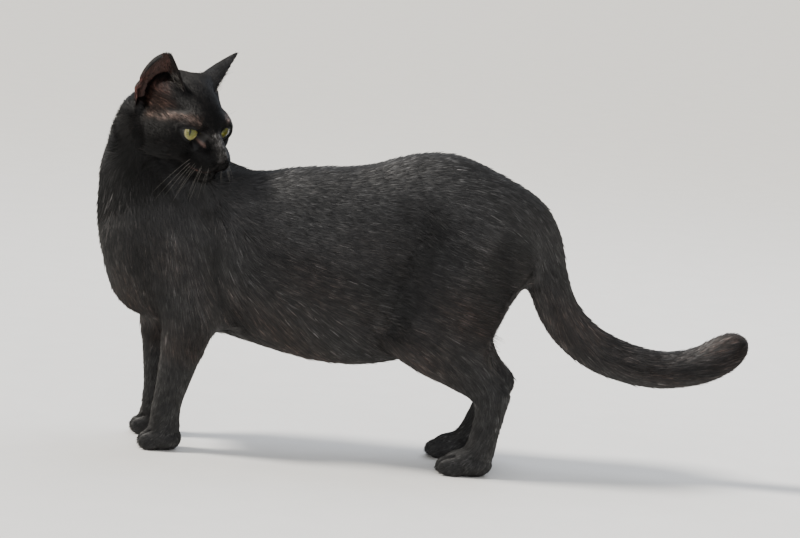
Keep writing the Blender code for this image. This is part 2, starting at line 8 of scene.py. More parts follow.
from __future__ import annotations
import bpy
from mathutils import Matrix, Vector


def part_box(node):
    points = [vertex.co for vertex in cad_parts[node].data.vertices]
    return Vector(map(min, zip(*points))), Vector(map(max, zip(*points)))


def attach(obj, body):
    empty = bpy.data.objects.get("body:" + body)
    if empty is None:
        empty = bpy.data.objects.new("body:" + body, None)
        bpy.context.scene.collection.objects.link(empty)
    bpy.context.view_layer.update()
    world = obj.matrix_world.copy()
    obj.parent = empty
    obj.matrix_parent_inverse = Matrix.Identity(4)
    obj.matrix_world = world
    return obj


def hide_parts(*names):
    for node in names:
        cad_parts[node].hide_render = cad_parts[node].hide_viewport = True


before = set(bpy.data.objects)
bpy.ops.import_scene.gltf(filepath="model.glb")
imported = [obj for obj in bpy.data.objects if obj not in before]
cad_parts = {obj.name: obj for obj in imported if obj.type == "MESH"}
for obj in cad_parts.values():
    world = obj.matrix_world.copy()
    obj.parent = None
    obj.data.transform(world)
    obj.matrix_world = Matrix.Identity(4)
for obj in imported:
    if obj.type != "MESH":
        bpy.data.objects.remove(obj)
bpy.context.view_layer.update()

import logging
import math
from collections.abc import Iterator
from contextlib import contextmanager
from dataclasses import dataclass, field
from enum import Enum

import bmesh
import bpy
import numpy as np
from mathutils import Matrix, Vector
from mathutils.bvhtree import BVHTree

MM = 0.001
LEAST_HEIGHT = 0.25 * MM  # of hair and claws over the floor
SIDES = (-1, 1)  # the cat's left and right
TAIL_NODES = ("tail_root", "tail_fore_length", "tail_rear_length", "tail_tip")
Place = tuple[float, float, float]
log = logging.getLogger("cat")


class Region(Enum):
    """The stretches of the body that differ in coat."""

    HEAD = "head"
    EAR = "ear"
    NECK = "neck"
    TRUNK = "trunk"
    TAIL = "tail"
    ARM = "upper_arm"
    FOREARM = "forearm"
    THIGH = "thigh"
    SHANK = "shank"
    FOOT = "foot"
    PAW = "paw"


def region_of(node: str) -> Region:
    """Finds the stretch of body that a node belongs to.

    Args:
        node: A node's name.

    Returns:
        Its region.
    """
    if node.startswith("tail"):
        return Region.TAIL
    if node.startswith("ear"):
        return Region.EAR
    return next(region for region in Region if node.endswith(region.value))


def rgb(code: str) -> tuple[float, float, float]:
    """Turns an sRGB hex colour into linear values.

    Args:
        code: Six hex digits after a hash sign.

    Returns:
        Linear red, green and blue.
    """
    parts = [int(code[i : i + 2], 16) / 255 for i in (1, 3, 5)]
    return tuple(p / 12.92 if p <= 0.04045 else ((p + 0.055) / 1.055) ** 2.4 for p in parts)


def unit(vectors: np.ndarray) -> np.ndarray:
    """Scales vectors to length 1, one or many."""
    return vectors / np.maximum(np.linalg.norm(vectors, axis=-1, keepdims=True), 1e-12)


def smoothstep(low: float, high: float, value: np.ndarray) -> np.ndarray:
    """Rises smoothly from 0 at low to 1 at high.

    Args:
        low: Where the rise starts.
        high: Where it ends. It may be under low, and the step then falls.
        value: The values to step.

    Returns:
        The stepped values.
    """
    share = np.clip((value - low) / (high - low), 0, 1)
    return share * share * (3 - 2 * share)


# --- Meshes -------------------------------------------------------------------------------------


def positions(mesh: bpy.types.Mesh) -> np.ndarray:
    """Reads a mesh's vertices as rows of x, y and z.

    Args:
        mesh: The mesh.

    Returns:
        The rows.
    """
    found = np.empty(len(mesh.vertices) * 3)
    mesh.vertices.foreach_get("co", found)
    return found.reshape(-1, 3)


def vertex_normals(mesh: bpy.types.Mesh) -> np.ndarray:
    """Reads a mesh's vertex normals as rows.

    Args:
        mesh: The mesh.

    Returns:
        The rows.
    """
    found = np.empty(len(mesh.vertices) * 3, np.float32)
    mesh.vertex_normals.foreach_get("vector", found)
    return found.reshape(-1, 3).astype(float)


def set_positions(mesh: bpy.types.Mesh, points: np.ndarray) -> None:
    """Moves a mesh's vertices to the rows of points."""
    mesh.vertices.foreach_set("co", points.astype(np.float32).ravel())
    mesh.update()


def edges_of(mesh: bpy.types.Mesh) -> np.ndarray:
    """Reads a mesh's edges as rows of two vertex numbers.

    Args:
        mesh: The mesh.

    Returns:
        The rows.
    """
    found = np.empty(len(mesh.edges) * 2, np.int32)
    mesh.edges.foreach_get("vertices", found)
    return found.reshape(-1, 2)


def triangles_of(mesh: bpy.types.Mesh) -> np.ndarray:
    """Reads a mesh's triangles as rows of three vertex numbers.

    Args:
        mesh: The mesh.

    Returns:
        The rows.
    """
    mesh.calc_loop_triangles()
    found = np.empty(len(mesh.loop_triangles) * 3, np.int32)
    mesh.loop_triangles.foreach_get("vertices", found)
    return found.reshape(-1, 3)


def averaged(values: np.ndarray, edges: np.ndarray) -> np.ndarray:
    """Gives each vertex the mean of its neighbours' values.

    Args:
        values: One row or number for each vertex.
        edges: The mesh's edges.

    Returns:
        The means, in the same shape.
    """
    columns = values.reshape(len(values), -1)
    near = np.concatenate([edges[:, 0], edges[:, 1]])
    far = np.concatenate([edges[:, 1], edges[:, 0]])
    count = np.maximum(np.bincount(near, minlength=len(values)), 1)
    total = [np.bincount(near, weights=column[far], minlength=len(values)) for column in columns.T]
    return (np.stack(total, axis=1) / count[:, None]).reshape(values.shape)


def new_piece(
    name: str, mesh: bpy.types.Mesh, finish: bpy.types.Material | None = None
) -> bpy.types.Object:
    """Links an object of that name for the mesh.

    Args:
        name: The object's name.
        mesh: The mesh.
        finish: Its material, unless it gets one later.

    Returns:
        The object.
    """
    made = bpy.data.objects.new(name, mesh)
    bpy.context.scene.collection.objects.link(made)
    if finish:
        mesh.materials.append(finish)
    return made


def with_modifiers(thing: bpy.types.Object) -> bpy.types.Mesh:
    """Applies an object's modifiers and returns its new mesh.

    Args:
        thing: The object.

    Returns:
        The mesh.
    """
    graph = bpy.context.evaluated_depsgraph_get()
    graph.update()
    mesh = bpy.data.meshes.new_from_object(thing.evaluated_get(graph))
    thing.modifiers.clear()
    thing.data = mesh
    return mesh


@contextmanager
def edited(mesh: bpy.types.Mesh) -> Iterator[bmesh.types.BMesh]:
    """Opens a mesh for editing and writes the result back to it.

    Args:
        mesh: The mesh.

    Yields:
        What is edited.
    """
    work = bmesh.new()
    work.from_mesh(mesh)
    yield work
    work.to_mesh(mesh)
    work.free()


def mesh_from(name: str, points: np.ndarray, faces: np.ndarray) -> bpy.types.Mesh:
    """Makes a mesh of faces that all have the same number of corners.

    Args:
        name: The mesh's name.
        points: Rows of x, y and z.
        faces: Rows of vertex numbers.

    Returns:
        The mesh, shaded smooth.
    """
    mesh = bpy.data.meshes.new(name)
    corners = faces.shape[1]
    mesh.vertices.add(len(points))
    mesh.vertices.foreach_set("co", points.astype(np.float32).ravel())
    mesh.loops.add(faces.size)
    mesh.loops.foreach_set("vertex_index", faces.astype(np.int32).ravel())
    mesh.polygons.add(len(faces))
    mesh.polygons.foreach_set("loop_start", np.arange(0, faces.size, corners, dtype=np.int32))
    mesh.update(calc_edges=True)
    mesh.shade_smooth()
    return mesh


def ring_faces(rings: int, around: int) -> np.ndarray:
    """Joins closed rings of vertices with four-cornered faces.

    Args:
        rings: How many rings there are, numbered one after another.
        around: How many vertices each has.

    Returns:
        Rows of four vertex numbers.
    """
    ring, column = np.meshgrid(np.arange(rings - 1), np.arange(around), indexing="ij")
    here = (ring * around + column).ravel()
    beside = (ring * around + (column + 1) % around).ravel()
    return np.stack([here, beside, beside + around, here + around], axis=1)


def ring_triangles(rings: int, around: int) -> np.ndarray:
    """Joins closed rings of vertices with triangles, numbered as in ring_faces."""
    quads = ring_faces(rings, around)
    return np.concatenate([quads[:, (0, 1, 2)], quads[:, (0, 2, 3)]])


def middle_of(node: str) -> np.ndarray:
    """Gives the middle of a node's box."""
    low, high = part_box(node)
    return (np.array(low) + np.array(high)) / 2


def to_segment(points: np.ndarray, start: np.ndarray, end: np.ndarray) -> tuple[np.ndarray, np.ndarray]:
    """Measures points against a straight line between two ends.

    Args:
        points: The points.
        start: One end.
        end: The other end.

    Returns:
        How far along it each point's nearest place is, from 0 to 1, and the distance to that place.
    """
    axis = end - start
    along = np.clip((points - start) @ axis / max(axis @ axis, 1e-9), 0, 1)
    return along, np.linalg.norm(points - start - along[:, None] * axis, axis=1)


# --- The head's axes ----------------------------------------------------------------------------


@dataclass
class HeadFrame:
    """Directions and places of the head, found from the two eyes. Millimetres forward, right and up."""

    pitch_deg: float = 25.0
    eye_setback: float = 5.0
    origin: np.ndarray = field(init=False)
    axes: np.ndarray = field(init=False)
    eyes: dict[int, np.ndarray] = field(init=False)

    def __post_init__(self) -> None:
        """Reads the eyes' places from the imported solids."""
        self.eyes = {-1: middle_of("eye_left"), 1: middle_of("eye_right")}
        right = unit(self.eyes[1] - self.eyes[-1])
        level = np.cross((0, 0, 1), right)
        pitch = math.radians(self.pitch_deg)
        forward = math.cos(pitch) * level - math.sin(pitch) * np.array((0, 0, 1.0))
        self.axes = np.stack([forward, right, np.cross(right, forward)], axis=1)
        middle = (self.eyes[1] + self.eyes[-1]) / 2
        self.origin = middle + self.eye_setback * MM * forward

    def to_world(self, points: np.ndarray) -> np.ndarray:
        """Places points given in the head's millimetres."""
        return self.origin + np.asarray(points, float) * MM @ self.axes.T

    def to_head(self, points: np.ndarray) -> np.ndarray:
        """Measures world points in the head's millimetres."""
        return (points - self.origin) @ self.axes / MM

    def turned(self, vectors: np.ndarray) -> np.ndarray:
        """Turns directions of the head into the world."""
        return np.asarray(vectors, float) @ self.axes.T


# --- Flesh as blended lumps ---------------------------------------------------------------------


@dataclass
class Lump:
    """A round or long lump of flesh. blend is the width over which it melts into those before it.

    A lump with an end is a tapered limb from centre to end, and its radii are those of its two ends.
    """

    centre: Place
    radii: tuple[float, ...]
    blend: float
    end: Place | None = None

    def distance(self, points: np.ndarray) -> np.ndarray:
        """Measures about how far points lie outside the lump.

        Args:
            points: The points, in the lump's millimetres.

        Returns:
            A distance for each, negative inside.
        """
        centre = np.array(self.centre)
        if self.end is None:
            local = points - centre
            near = np.linalg.norm(local / self.radii, axis=1)
            slope = np.linalg.norm(local / np.square(self.radii), axis=1)
            return near * (near - 1) / np.maximum(slope, 1e-9)
        along, away = to_segment(points, centre, np.array(self.end))
        return away - (self.radii[0] + (self.radii[1] - self.radii[0]) * along)

    def balls(self) -> list[tuple[np.ndarray, np.ndarray]]:
        """Gives the lump as ellipsoids, each a middle and its radii.

        Returns:
            The middles and radii. A limb gives six balls.
        """
        centre = np.array(self.centre)
        if self.end is None:
            return [(centre, np.array(self.radii))]
        found = []
        for share in np.linspace(0, 1, 6):
            radius = self.radii[0] + (self.radii[1] - self.radii[0]) * share
            found.append((centre + share * (np.array(self.end) - centre), np.full(3, radius)))
        return found


def mirrored(forward: float, right: float, up: float, radii: tuple, blend: float) -> list[Lump]:
    """Makes a pair of like lumps on both sides."""
    return [Lump((forward, side * right, up), radii, blend) for side in SIDES]


def blended_distance(points: np.ndarray, lumps: list[Lump]) -> np.ndarray:
    """Measures how far points lie outside lumps that melt into each other.

    Args:
        points: Points in the lumps' own axes.
        lumps: The lumps, in the order in which they melt together.

    Returns:
        The distances, negative inside.
    """
    total = np.full(len(points), 1e3)
    for lump in lumps:
        found = lump.distance(points)
        share = np.clip(0.5 + 0.5 * (total - found) / lump.blend, 0, 1)
        total = total + (found - total) * share - lump.blend * share * (1 - share)
    return total


def drawn_to(points: np.ndarray, lumps: list[Lump], depth: float, reach: float) -> np.ndarray:
    """Moves points onto the lumps' common surface, or below it.

    Args:
        points: Points in the lumps' own axes.
        lumps: The lumps.
        depth: How far below their surface the points go.
        reach: Points farther than this from their goal stay where they are.

    Returns:
        The moved points.
    """
    start = points
    step = 0.1
    for _ in range(4):
        here = blended_distance(points, lumps) + depth
        slope = np.stack(
            [(blended_distance(points + step * axis, lumps) + depth - here) / step for axis in np.eye(3)],
            axis=1,
        )
        steep = np.maximum((slope**2).sum(axis=1), 0.25)
        points = points - np.clip(here / steep, -2, 2)[:, None] * slope
    near = smoothstep(reach, 0.5 * reach, np.linalg.norm(points - start, axis=1))
    return start + near[:, None] * (points - start)


@dataclass(frozen=True)
class Stroke:
    """A ridge or groove drawn on the skin along a line, in millimetres."""

    line: tuple[Place, ...]
    width: float
    height: float  # over the skin, and negative for a groove
    both_sides: bool = True

    def height_at(self, points: np.ndarray) -> np.ndarray:
        """Gives how far the stroke lifts or sinks each point.

        Args:
            points: The points, in millimetres.

        Returns:
            A height for each, negative in a groove.
        """
        lifted = np.zeros(len(points))
        for side in SIDES if self.both_sides else (1,):
            line = np.array(self.line) * (1, side, 1)
            nearest = np.full(len(points), np.inf)
            for start, end in zip(line[:-1], line[1:]):
                nearest = np.minimum(nearest, to_segment(points, start, end)[1])
            lifted += self.height * np.exp(-((nearest / self.width) ** 2))
        return lifted


@dataclass
class HeadFlesh:
    """Skull, cheeks, muzzle and chin of the cat, in the head's millimetres."""

    cheek_width: float = 21.0
    muzzle_length: float = 24.6

    def lumps(self) -> list[Lump]:
        """Lists the lumps in the order in which they blend.

        Returns:
            The lumps.
        """
        wide = self.cheek_width
        return [
            Lump((-38, 0, 4), (38, 33, 29), 14),
            Lump((-14, 0, 8), (22, 22, 14), 10),
            Lump((-2, 0, 2), (11.5, 8.5), 8, end=(20, 0, -8.5)),
            Lump((self.muzzle_length, 0, -11.5), (7.5, 7.5, 6.0), 5),
            Lump((-24, 0, -20), (18, 11), 10, end=(12, 0, -28)),
            Lump((16.5, 0, -31.3), (9.5, 9.5, 8), 6),
            *mirrored(-18, wide, -10, (23, 15, 16), 9),
            *mirrored(-27, wide, -15, (26, 18, 22), 12),
            *mirrored(7, 12.0, -18, (17, 12, 12), 7),
            *mirrored(-13, 25, -1, (15, 8, 11), 6),
            *mirrored(18.3, 7.6, -18, (12.0, 10.2, 9.5), 5),
            *mirrored(-5, 16, 8.5, (12, 12, 6.0), 6),
            *mirrored(-40, 22, 16, (16, 13, 16), 10),
        ]


@dataclass
class PawFlesh:
    """The palm and toes of one paw, in millimetres from the floor point under the ankle."""

    node: str
    stretch: float
    toe_spacing: float = 7.2
    toe_reach: float = 20.5

    def floor_point(self) -> np.ndarray:
        """Finds the floor point under the ankle from the node's box.

        Returns:
            The point, in metres.
        """
        low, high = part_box(self.node)
        ahead = (self.toe_reach - 1.5 + 10.5) * self.stretch * MM
        return np.array((low.x + ahead, (low.y + high.y) / 2, 0.0))

    def lumps(self) -> list[Lump]:
        """Lists the palm and the four toes.

        Returns:
            The lumps, the palm first.
        """
        reach = self.stretch
        found = [Lump((-6 * reach, 0, 10.5), (19 * reach, 14.5, 13), 5)]
        for number in range(4):
            outward = number - 1.5
            ahead = self.toe_reach - 3.0 * abs(outward)
            centre = (-ahead * reach, self.toe_spacing * outward, 7.6)
            found.append(Lump(centre, (10.8 * reach, 4.5, 8.6), 0.7))
        return found

    def grooves(self) -> list[Stroke]:
        """Lists the grooves between the toes.

        Returns:
            The three grooves.
        """
        found = []
        for outward in (-1, 0, 1):
            y, front = self.toe_spacing * outward, self.toe_reach + 9.0 - 2.0 * abs(outward)
            line = ((-front, y, 2), (-front + 3, y, 12), (-front + 13, y, 17))
            stretched = tuple((x * self.stretch, y, z) for x, y, z in line)
            found.append(Stroke(stretched, 1.7, -2.4, both_sides=False))
        return found

    def claw_roots(self) -> list[np.ndarray]:
        """Lists where the claws leave the toes, in metres.

        Returns:
            Four places.
        """
        foot = self.floor_point()
        found = []
        for number in range(4):
            outward = number - 1.5
            ahead = (self.toe_reach - 3.0 * abs(outward) + 8.6) * self.stretch
            found.append(foot + MM * np.array((-ahead, self.toe_spacing * outward, 6.0)))
        return found


PAWS = (
    PawFlesh("foreleg_left_paw", 0.94),
    PawFlesh("foreleg_right_paw", 0.94),
    PawFlesh("hindleg_left_paw", 1.2),
    PawFlesh("hindleg_right_paw", 1.2),
)


# --- The skin -----------------------------------------------------------------------------------


FACE_STROKES = (
    Stroke(((32, 0, -13.5), (31.5, 0, -18), (29.5, 0, -21)), 0.9, -1.2, both_sides=False),
    Stroke(((29.5, 0, -21), (27.5, 5, -23.6), (23, 10.5, -24.6), (15, 15.0, -25.5)), 1.1, -2.0),
    Stroke(((29.5, 0, -22), (26, 6, -24.8), (20, 12, -26.2)), 1.0, 0.4),
    Stroke(((32.4, 2.8, -12.6), (30.6, 4.8, -11.6), (28.6, 5.9, -11.2)), 0.95, -2.1),
    Stroke(((32.6, 1.4, -11.5), (31.4, 3.6, -9.4)), 1.6, 0.8),
    Stroke(((30.8, 0, -6.6), (29.3, 4.2, -7.4)), 0.9, -0.35),
    Stroke(((25, 7.4, -18.5),), 5.5, 1.1),
    Stroke(((20, 12, -19.5),), 5.0, 0.7),
    Stroke(((22, 0, -31),), 5.5, 0.9, both_sides=False),
    Stroke(((10, 9.0, 2.5), (18, 7.6, -5.5)), 2.4, -0.9),
    Stroke(((13, 10.5, -4.5), (19, 9.5, -10.5)), 2.2, -0.8),
    Stroke(((-1, 12, 12.5), (-8, 24, 12.5), (-15, 30, 8)), 3.2, 1.0),
    Stroke(((0, 9, 15), (-16, 12, 27)), 4.0, 0.6),
    Stroke(((8, 0, 6), (-8, 0, 18), (-24, 0, 27)), 3.4, -0.8, both_sides=False),
    Stroke(((1, 26, -13), (-16, 34, -14)), 5.0, 0.9),
    Stroke(((-14, 33, -2), (-30, 36, -8), (-42, 38, -18)), 4.0, 0.8),
    Stroke(((-30, 25, 23), (-36, 29, 21), (-43, 32, 14), (-47, 34, 8)), 7.5, -1.5),
)

# Muscles and the hollows between them, in millimetres of the world, from the left side. The coat is also
# painted darker over the hollows and lighter over the muscles, as painted shade and light.
BODY_STROKES = (
    Stroke(((-190, -42, 222), (-184, -43, 205), (-180, -47, 176), (-175, -45, 140)), 6.5, -7.0),
    Stroke(((-171, -46, 220), (-167, -48, 190), (-160, -46, 155)), 8.0, 2.5),
    Stroke(((-216, -47, 196), (-206, -50, 165), (-191, -49, 144)), 11.0, 3.0),
    Stroke(((-250, -49, 203), (-240, -50, 173), (-227, -42, 134)), 8.0, -3.0),
    Stroke(((-226, -43, 219), (-214, -45, 197)), 9.0, 1.5),
    Stroke(((-178, -46, 132),), 8.0, 2.0),
    Stroke(((-163, -38, 128), (-156, -30, 116)), 10.0, -3.5),
    Stroke(((-21, -46, 131), (-6, -45, 180), (8, -42, 222)), 11.0, -6.5),
    Stroke(((30, -50, 128), (34, -50, 166), (46, -49, 208)), 14.0, 3.4),
    Stroke(((81, -36, 165), (68, -45, 205)), 9.0, -3.0),
    Stroke(((68, -46, 108), (79, -38, 80)), 4.5, -2.5),
    Stroke(((-120, -49, 190), (-70, -51, 176)), 26.0, 1.5),
)


@dataclass
class EyeOpening:
    """The almond-shaped opening between an eye's lids, measured as angles from the eyeball's middle."""

    side: int
    centre: np.ndarray
    ball: float = 10.3
    outward_deg: float = 6.5
    upward_deg: float = -0.5
    half_width_deg: float = 67.0
    half_height_deg: float = 32.0
    wide_power: float = 1.35  # how pointed the corners are
    tall_power: float = 1.6  # how round the lids' middles are
    tilt: float = 0.2
    lid: float = 1.25

    def axes(self) -> np.ndarray:
        """Gives the directions ahead, outward and upward as columns, in the head's axes.

        Returns:
            The three columns.
        """
        aside, above = math.radians(self.outward_deg), math.radians(self.upward_deg)
        level = math.cos(above)
        ahead = np.array((math.cos(aside) * level, self.side * math.sin(aside) * level, math.sin(above)))
        outward = unit(np.array((0, self.side, 0)) - self.side * ahead[1] * ahead)
        upward = np.cross(ahead, outward) * self.side
        upward = upward if upward[2] > 0 else -upward
        return np.stack([ahead, outward, upward], axis=1)

    def angles(self, points: np.ndarray) -> tuple[np.ndarray, np.ndarray]:
        """Measures points' angles outward and upward of the opening's middle, in degrees.

        Args:
            points: The points, in the head's millimetres.

        Returns:
            The angles outward, and those upward with the tilt taken off.
        """
        local = (points - self.centre) @ self.axes()
        outward = np.degrees(np.arctan2(local[:, 1], local[:, 0]))
        reach = np.maximum(np.linalg.norm(local, axis=1), 1e-9)
        return outward, np.degrees(np.arcsin(np.clip(local[:, 2] / reach, -1, 1))) - self.tilt * outward

    def edge_share(self, outward: np.ndarray, upward: np.ndarray) -> np.ndarray:
        """Finds by what share an angle pair is scaled to lie on the lids' edge.

        Args:
            outward: Angles outward.
            upward: Angles upward.

        Returns:
            A share for each pair, under 1 outside the edge.
        """
        low, high = np.full(len(outward), 0.05), np.full(len(outward), 60.0)
        for _ in range(22):
            middle = (low + high) / 2
            wide = (np.abs(middle * outward) / self.half_width_deg) ** self.wide_power
            tall = (np.abs(middle * upward) / self.half_height_deg) ** self.tall_power
            inside = wide + tall < 1
            low, high = np.where(inside, middle, low), np.where(inside, high, middle)
        return low

    def point(self, outward: np.ndarray, upward: np.ndarray, radius: np.ndarray) -> np.ndarray:
        """Places points at angles and a distance from the eyeball's middle.

        Args:
            outward: Angles outward.
            upward: Angles upward.
            radius: Distances from the middle.

        Returns:
            The points, in the head's millimetres.
        """
        aside, above = np.radians(outward), np.radians(upward + self.tilt * outward)
        level = np.cos(above)
        local = np.stack([np.cos(aside) * level, np.sin(aside) * level, np.sin(above)], axis=1)
        return self.centre + (local * radius[:, None]) @ self.axes().T

    def outside(self, points: np.ndarray) -> np.ndarray:
        """Measures how far points lie outside the lids' edge, in millimetres along the ball.

        Args:
            points: The points, in the head's millimetres.

        Returns:
            A distance for each, negative inside the opening.
        """
        outward, upward = self.angles(points)
        share = self.edge_share(outward, upward)
        return (1 - share) * np.hypot(outward, upward) * math.pi / 180 * self.ball

    def shaped(self, points: np.ndarray) -> np.ndarray:
        """Lays the skin near the eye over the ball as lids.

        Args:
            points: The skin's points in the head's millimetres.

        Returns:
            The moved points. Those inside the opening lie on its edge.
        """
        away = points - self.centre
        reach = np.linalg.norm(away, axis=1)
        ahead = away @ self.axes()[:, 0]
        near = np.flatnonzero((reach < 21) & (ahead > 0.05 * reach))
        outward, upward = self.angles(points[near])
        share = self.edge_share(outward, upward)
        out = (1 - share) * np.hypot(outward, upward) * math.pi / 180 * self.ball
        onto = np.where(out < 0, share, 1.0)
        out = np.maximum(out, 0)
        lid = self.ball - 0.35 + (self.lid + 0.35) * smoothstep(-0.2, 1.5, out)
        above = np.maximum(reach[near], lid)
        radius = lid + (above - lid) * smoothstep(0.9, 5.5, out)
        moved = points.copy()
        moved[near] = self.point(outward * onto, upward * onto, radius)
        return moved


@dataclass(frozen=True)
class EarShape:
    """The outline of one ear: its two feet and tip in the head's millimetres, and how it narrows."""

    inner_foot: Place
    outer_foot: Place
    tip: Place
    fullness: float  # a high power keeps the outer edge broad up to near its tip
    taper: float
    inner_taper: float  # 1 makes the inner edge straight
    depth: float


EAR_SHAPES = {
    -1: EarShape((-21, -14, 22), (-49, -40, 4), (-43, -52, 55), 1.2, 1.1, 0.95, 22.0),
    1: EarShape((-21, 14, 22), (-55, 40, 1), (-45, 30, 53.5), 2.6, 0.65, 0.88, 17.0),
}


@dataclass
class EarShell:
    """A cupped ear, thin at its rim, with a small pocket on its outer edge."""

    side: int
    head: HeadFrame
    thickness: float = 1.9
    root: float = 0.16
    columns: int = 30
    rows: int = 40

    def breadth(self, height: float) -> float:
        """Gives how far out the outer edge is at a share of the ear's height, from 1 to 0."""
        shape = EAR_SHAPES[self.side]
        return (1 - min(max(height, 0.0), 0.999) ** shape.fullness) ** shape.taper

    def edges(self, height: float) -> tuple[np.ndarray, np.ndarray]:
        """Finds the ear's inner and outer edge at a share of its height.

        Args:
            height: The share of the ear's height.

        Returns:
            The points of the inner and the outer edge.
        """
        shape = EAR_SHAPES[self.side]
        inner_foot, outer_foot, tip = (
            np.array(spot, float) for spot in (shape.inner_foot, shape.outer_foot, shape.tip)
        )
        foot = (inner_foot + outer_foot) / 2
        middle = foot + (tip - foot) * height
        half = (outer_foot - inner_foot) / 2
        inner_share = (1 - min(max(height, 0.0), 0.999)) ** shape.inner_taper
        pocket = 1.7 * math.exp(-(((height - 0.2) / 0.07) ** 2))
        notch = 1.3 * math.exp(-(((height - 0.33) / 0.04) ** 2))
        outer = middle + half * self.breadth(height) + (pocket - notch) * unit(half)
        return middle - half * inner_share, outer

    def ring(self, height: float) -> np.ndarray:
        """Gives the ear's closed section at a share of its height, in the head's millimetres.

        Args:
            height: The share of the ear's height.

        Returns:
            The section's points.
        """
        behind = unit(np.array((-0.95, -self.side * 0.3, 0.05)))
        inner, outer = self.edges(height)
        middle, half = (inner + outer) / 2, (outer - inner) / 2
        across, width = unit(half), max(np.linalg.norm(half) - 0.6, 0.35)
        thick = self.thickness * (1 - 0.55 * max(height, 0))
        bow = max(EAR_SHAPES[self.side].depth * self.breadth(height) ** 0.8 - 1.2, 0.7 * thick)
        angles = np.linspace(0, math.pi, self.columns + 1)
        found = []
        for layer, turned in ((0.5, angles), (-0.5, angles[::-1])):
            rim = 1 - 0.5 * np.abs(np.cos(turned)) ** 6
            aside = max(width + layer * thick * 0.5, 0.2) * np.cos(turned)
            back = (bow + layer * thick * rim) * np.sin(turned)
            found.append(middle - aside[:, None] * across + back[:, None] * behind)
        return np.concatenate(found)

    def mesh(self) -> bpy.types.Mesh:
        """Builds the ear as a closed mesh in metres.

        Returns:
            The mesh.
        """
        heights = 1 - (1 + self.root) * np.linspace(1, 0.1, self.rows) ** 1.25
        rings = [self.head.to_world(self.ring(height)) for height in heights]
        around = len(rings[0])
        made = mesh_from("ear", np.concatenate(rings), ring_faces(len(rings), around))
        with edited(made) as shell:
            shell.verts.ensure_lookup_table()
            for row in (0, len(rings) - 1):
                shell.faces.new([shell.verts[row * around + i] for i in range(around)])
            bmesh.ops.recalc_face_normals(shell, faces=shell.faces[:])
            bmesh.ops.triangulate(shell, faces=[face for face in shell.faces if len(face.verts) > 4])
        return made


@dataclass(frozen=True)
class Pelt:
    """The coat's measures on one stretch of the body, in millimetres."""

    depth: float  # from the skin up to the coat's outline
    length: float  # of a tuft
    width: float  # of a tuft at its root
    density: float  # tufts for each square millimetre
    smoothing: float  # how much the skin there is evened out, from 0 to 1


PELTS = {
    Region.HEAD: Pelt(2.0, 6.6, 0.56, 3.0, 0.25),
    Region.EAR: Pelt(0.8, 3.2, 0.45, 3.0, 0.10),
    Region.NECK: Pelt(5.0, 15.0, 0.75, 1.25, 1.00),
    Region.TRUNK: Pelt(4.8, 15.0, 0.72, 1.25, 1.00),
    Region.TAIL: Pelt(4.2, 15.0, 0.72, 1.35, 0.60),
    Region.ARM: Pelt(4.2, 13.0, 0.70, 1.30, 1.00),
    Region.FOREARM: Pelt(2.4, 7.4, 0.56, 1.90, 0.40),
    Region.THIGH: Pelt(4.4, 13.5, 0.70, 1.30, 1.00),
    Region.SHANK: Pelt(3.2, 10.0, 0.62, 1.60, 0.60),
    Region.FOOT: Pelt(2.3, 7.5, 0.58, 1.90, 0.40),
    Region.PAW: Pelt(1.6, 3.9, 0.46, 2.80, 0.12),
}


# What each side's lids change of the usual opening: the left eye is opened less wide.
OPEN_LIDS = {-1: {"outward_deg": -6.0, "half_width_deg": 39.0}, 1: {}}


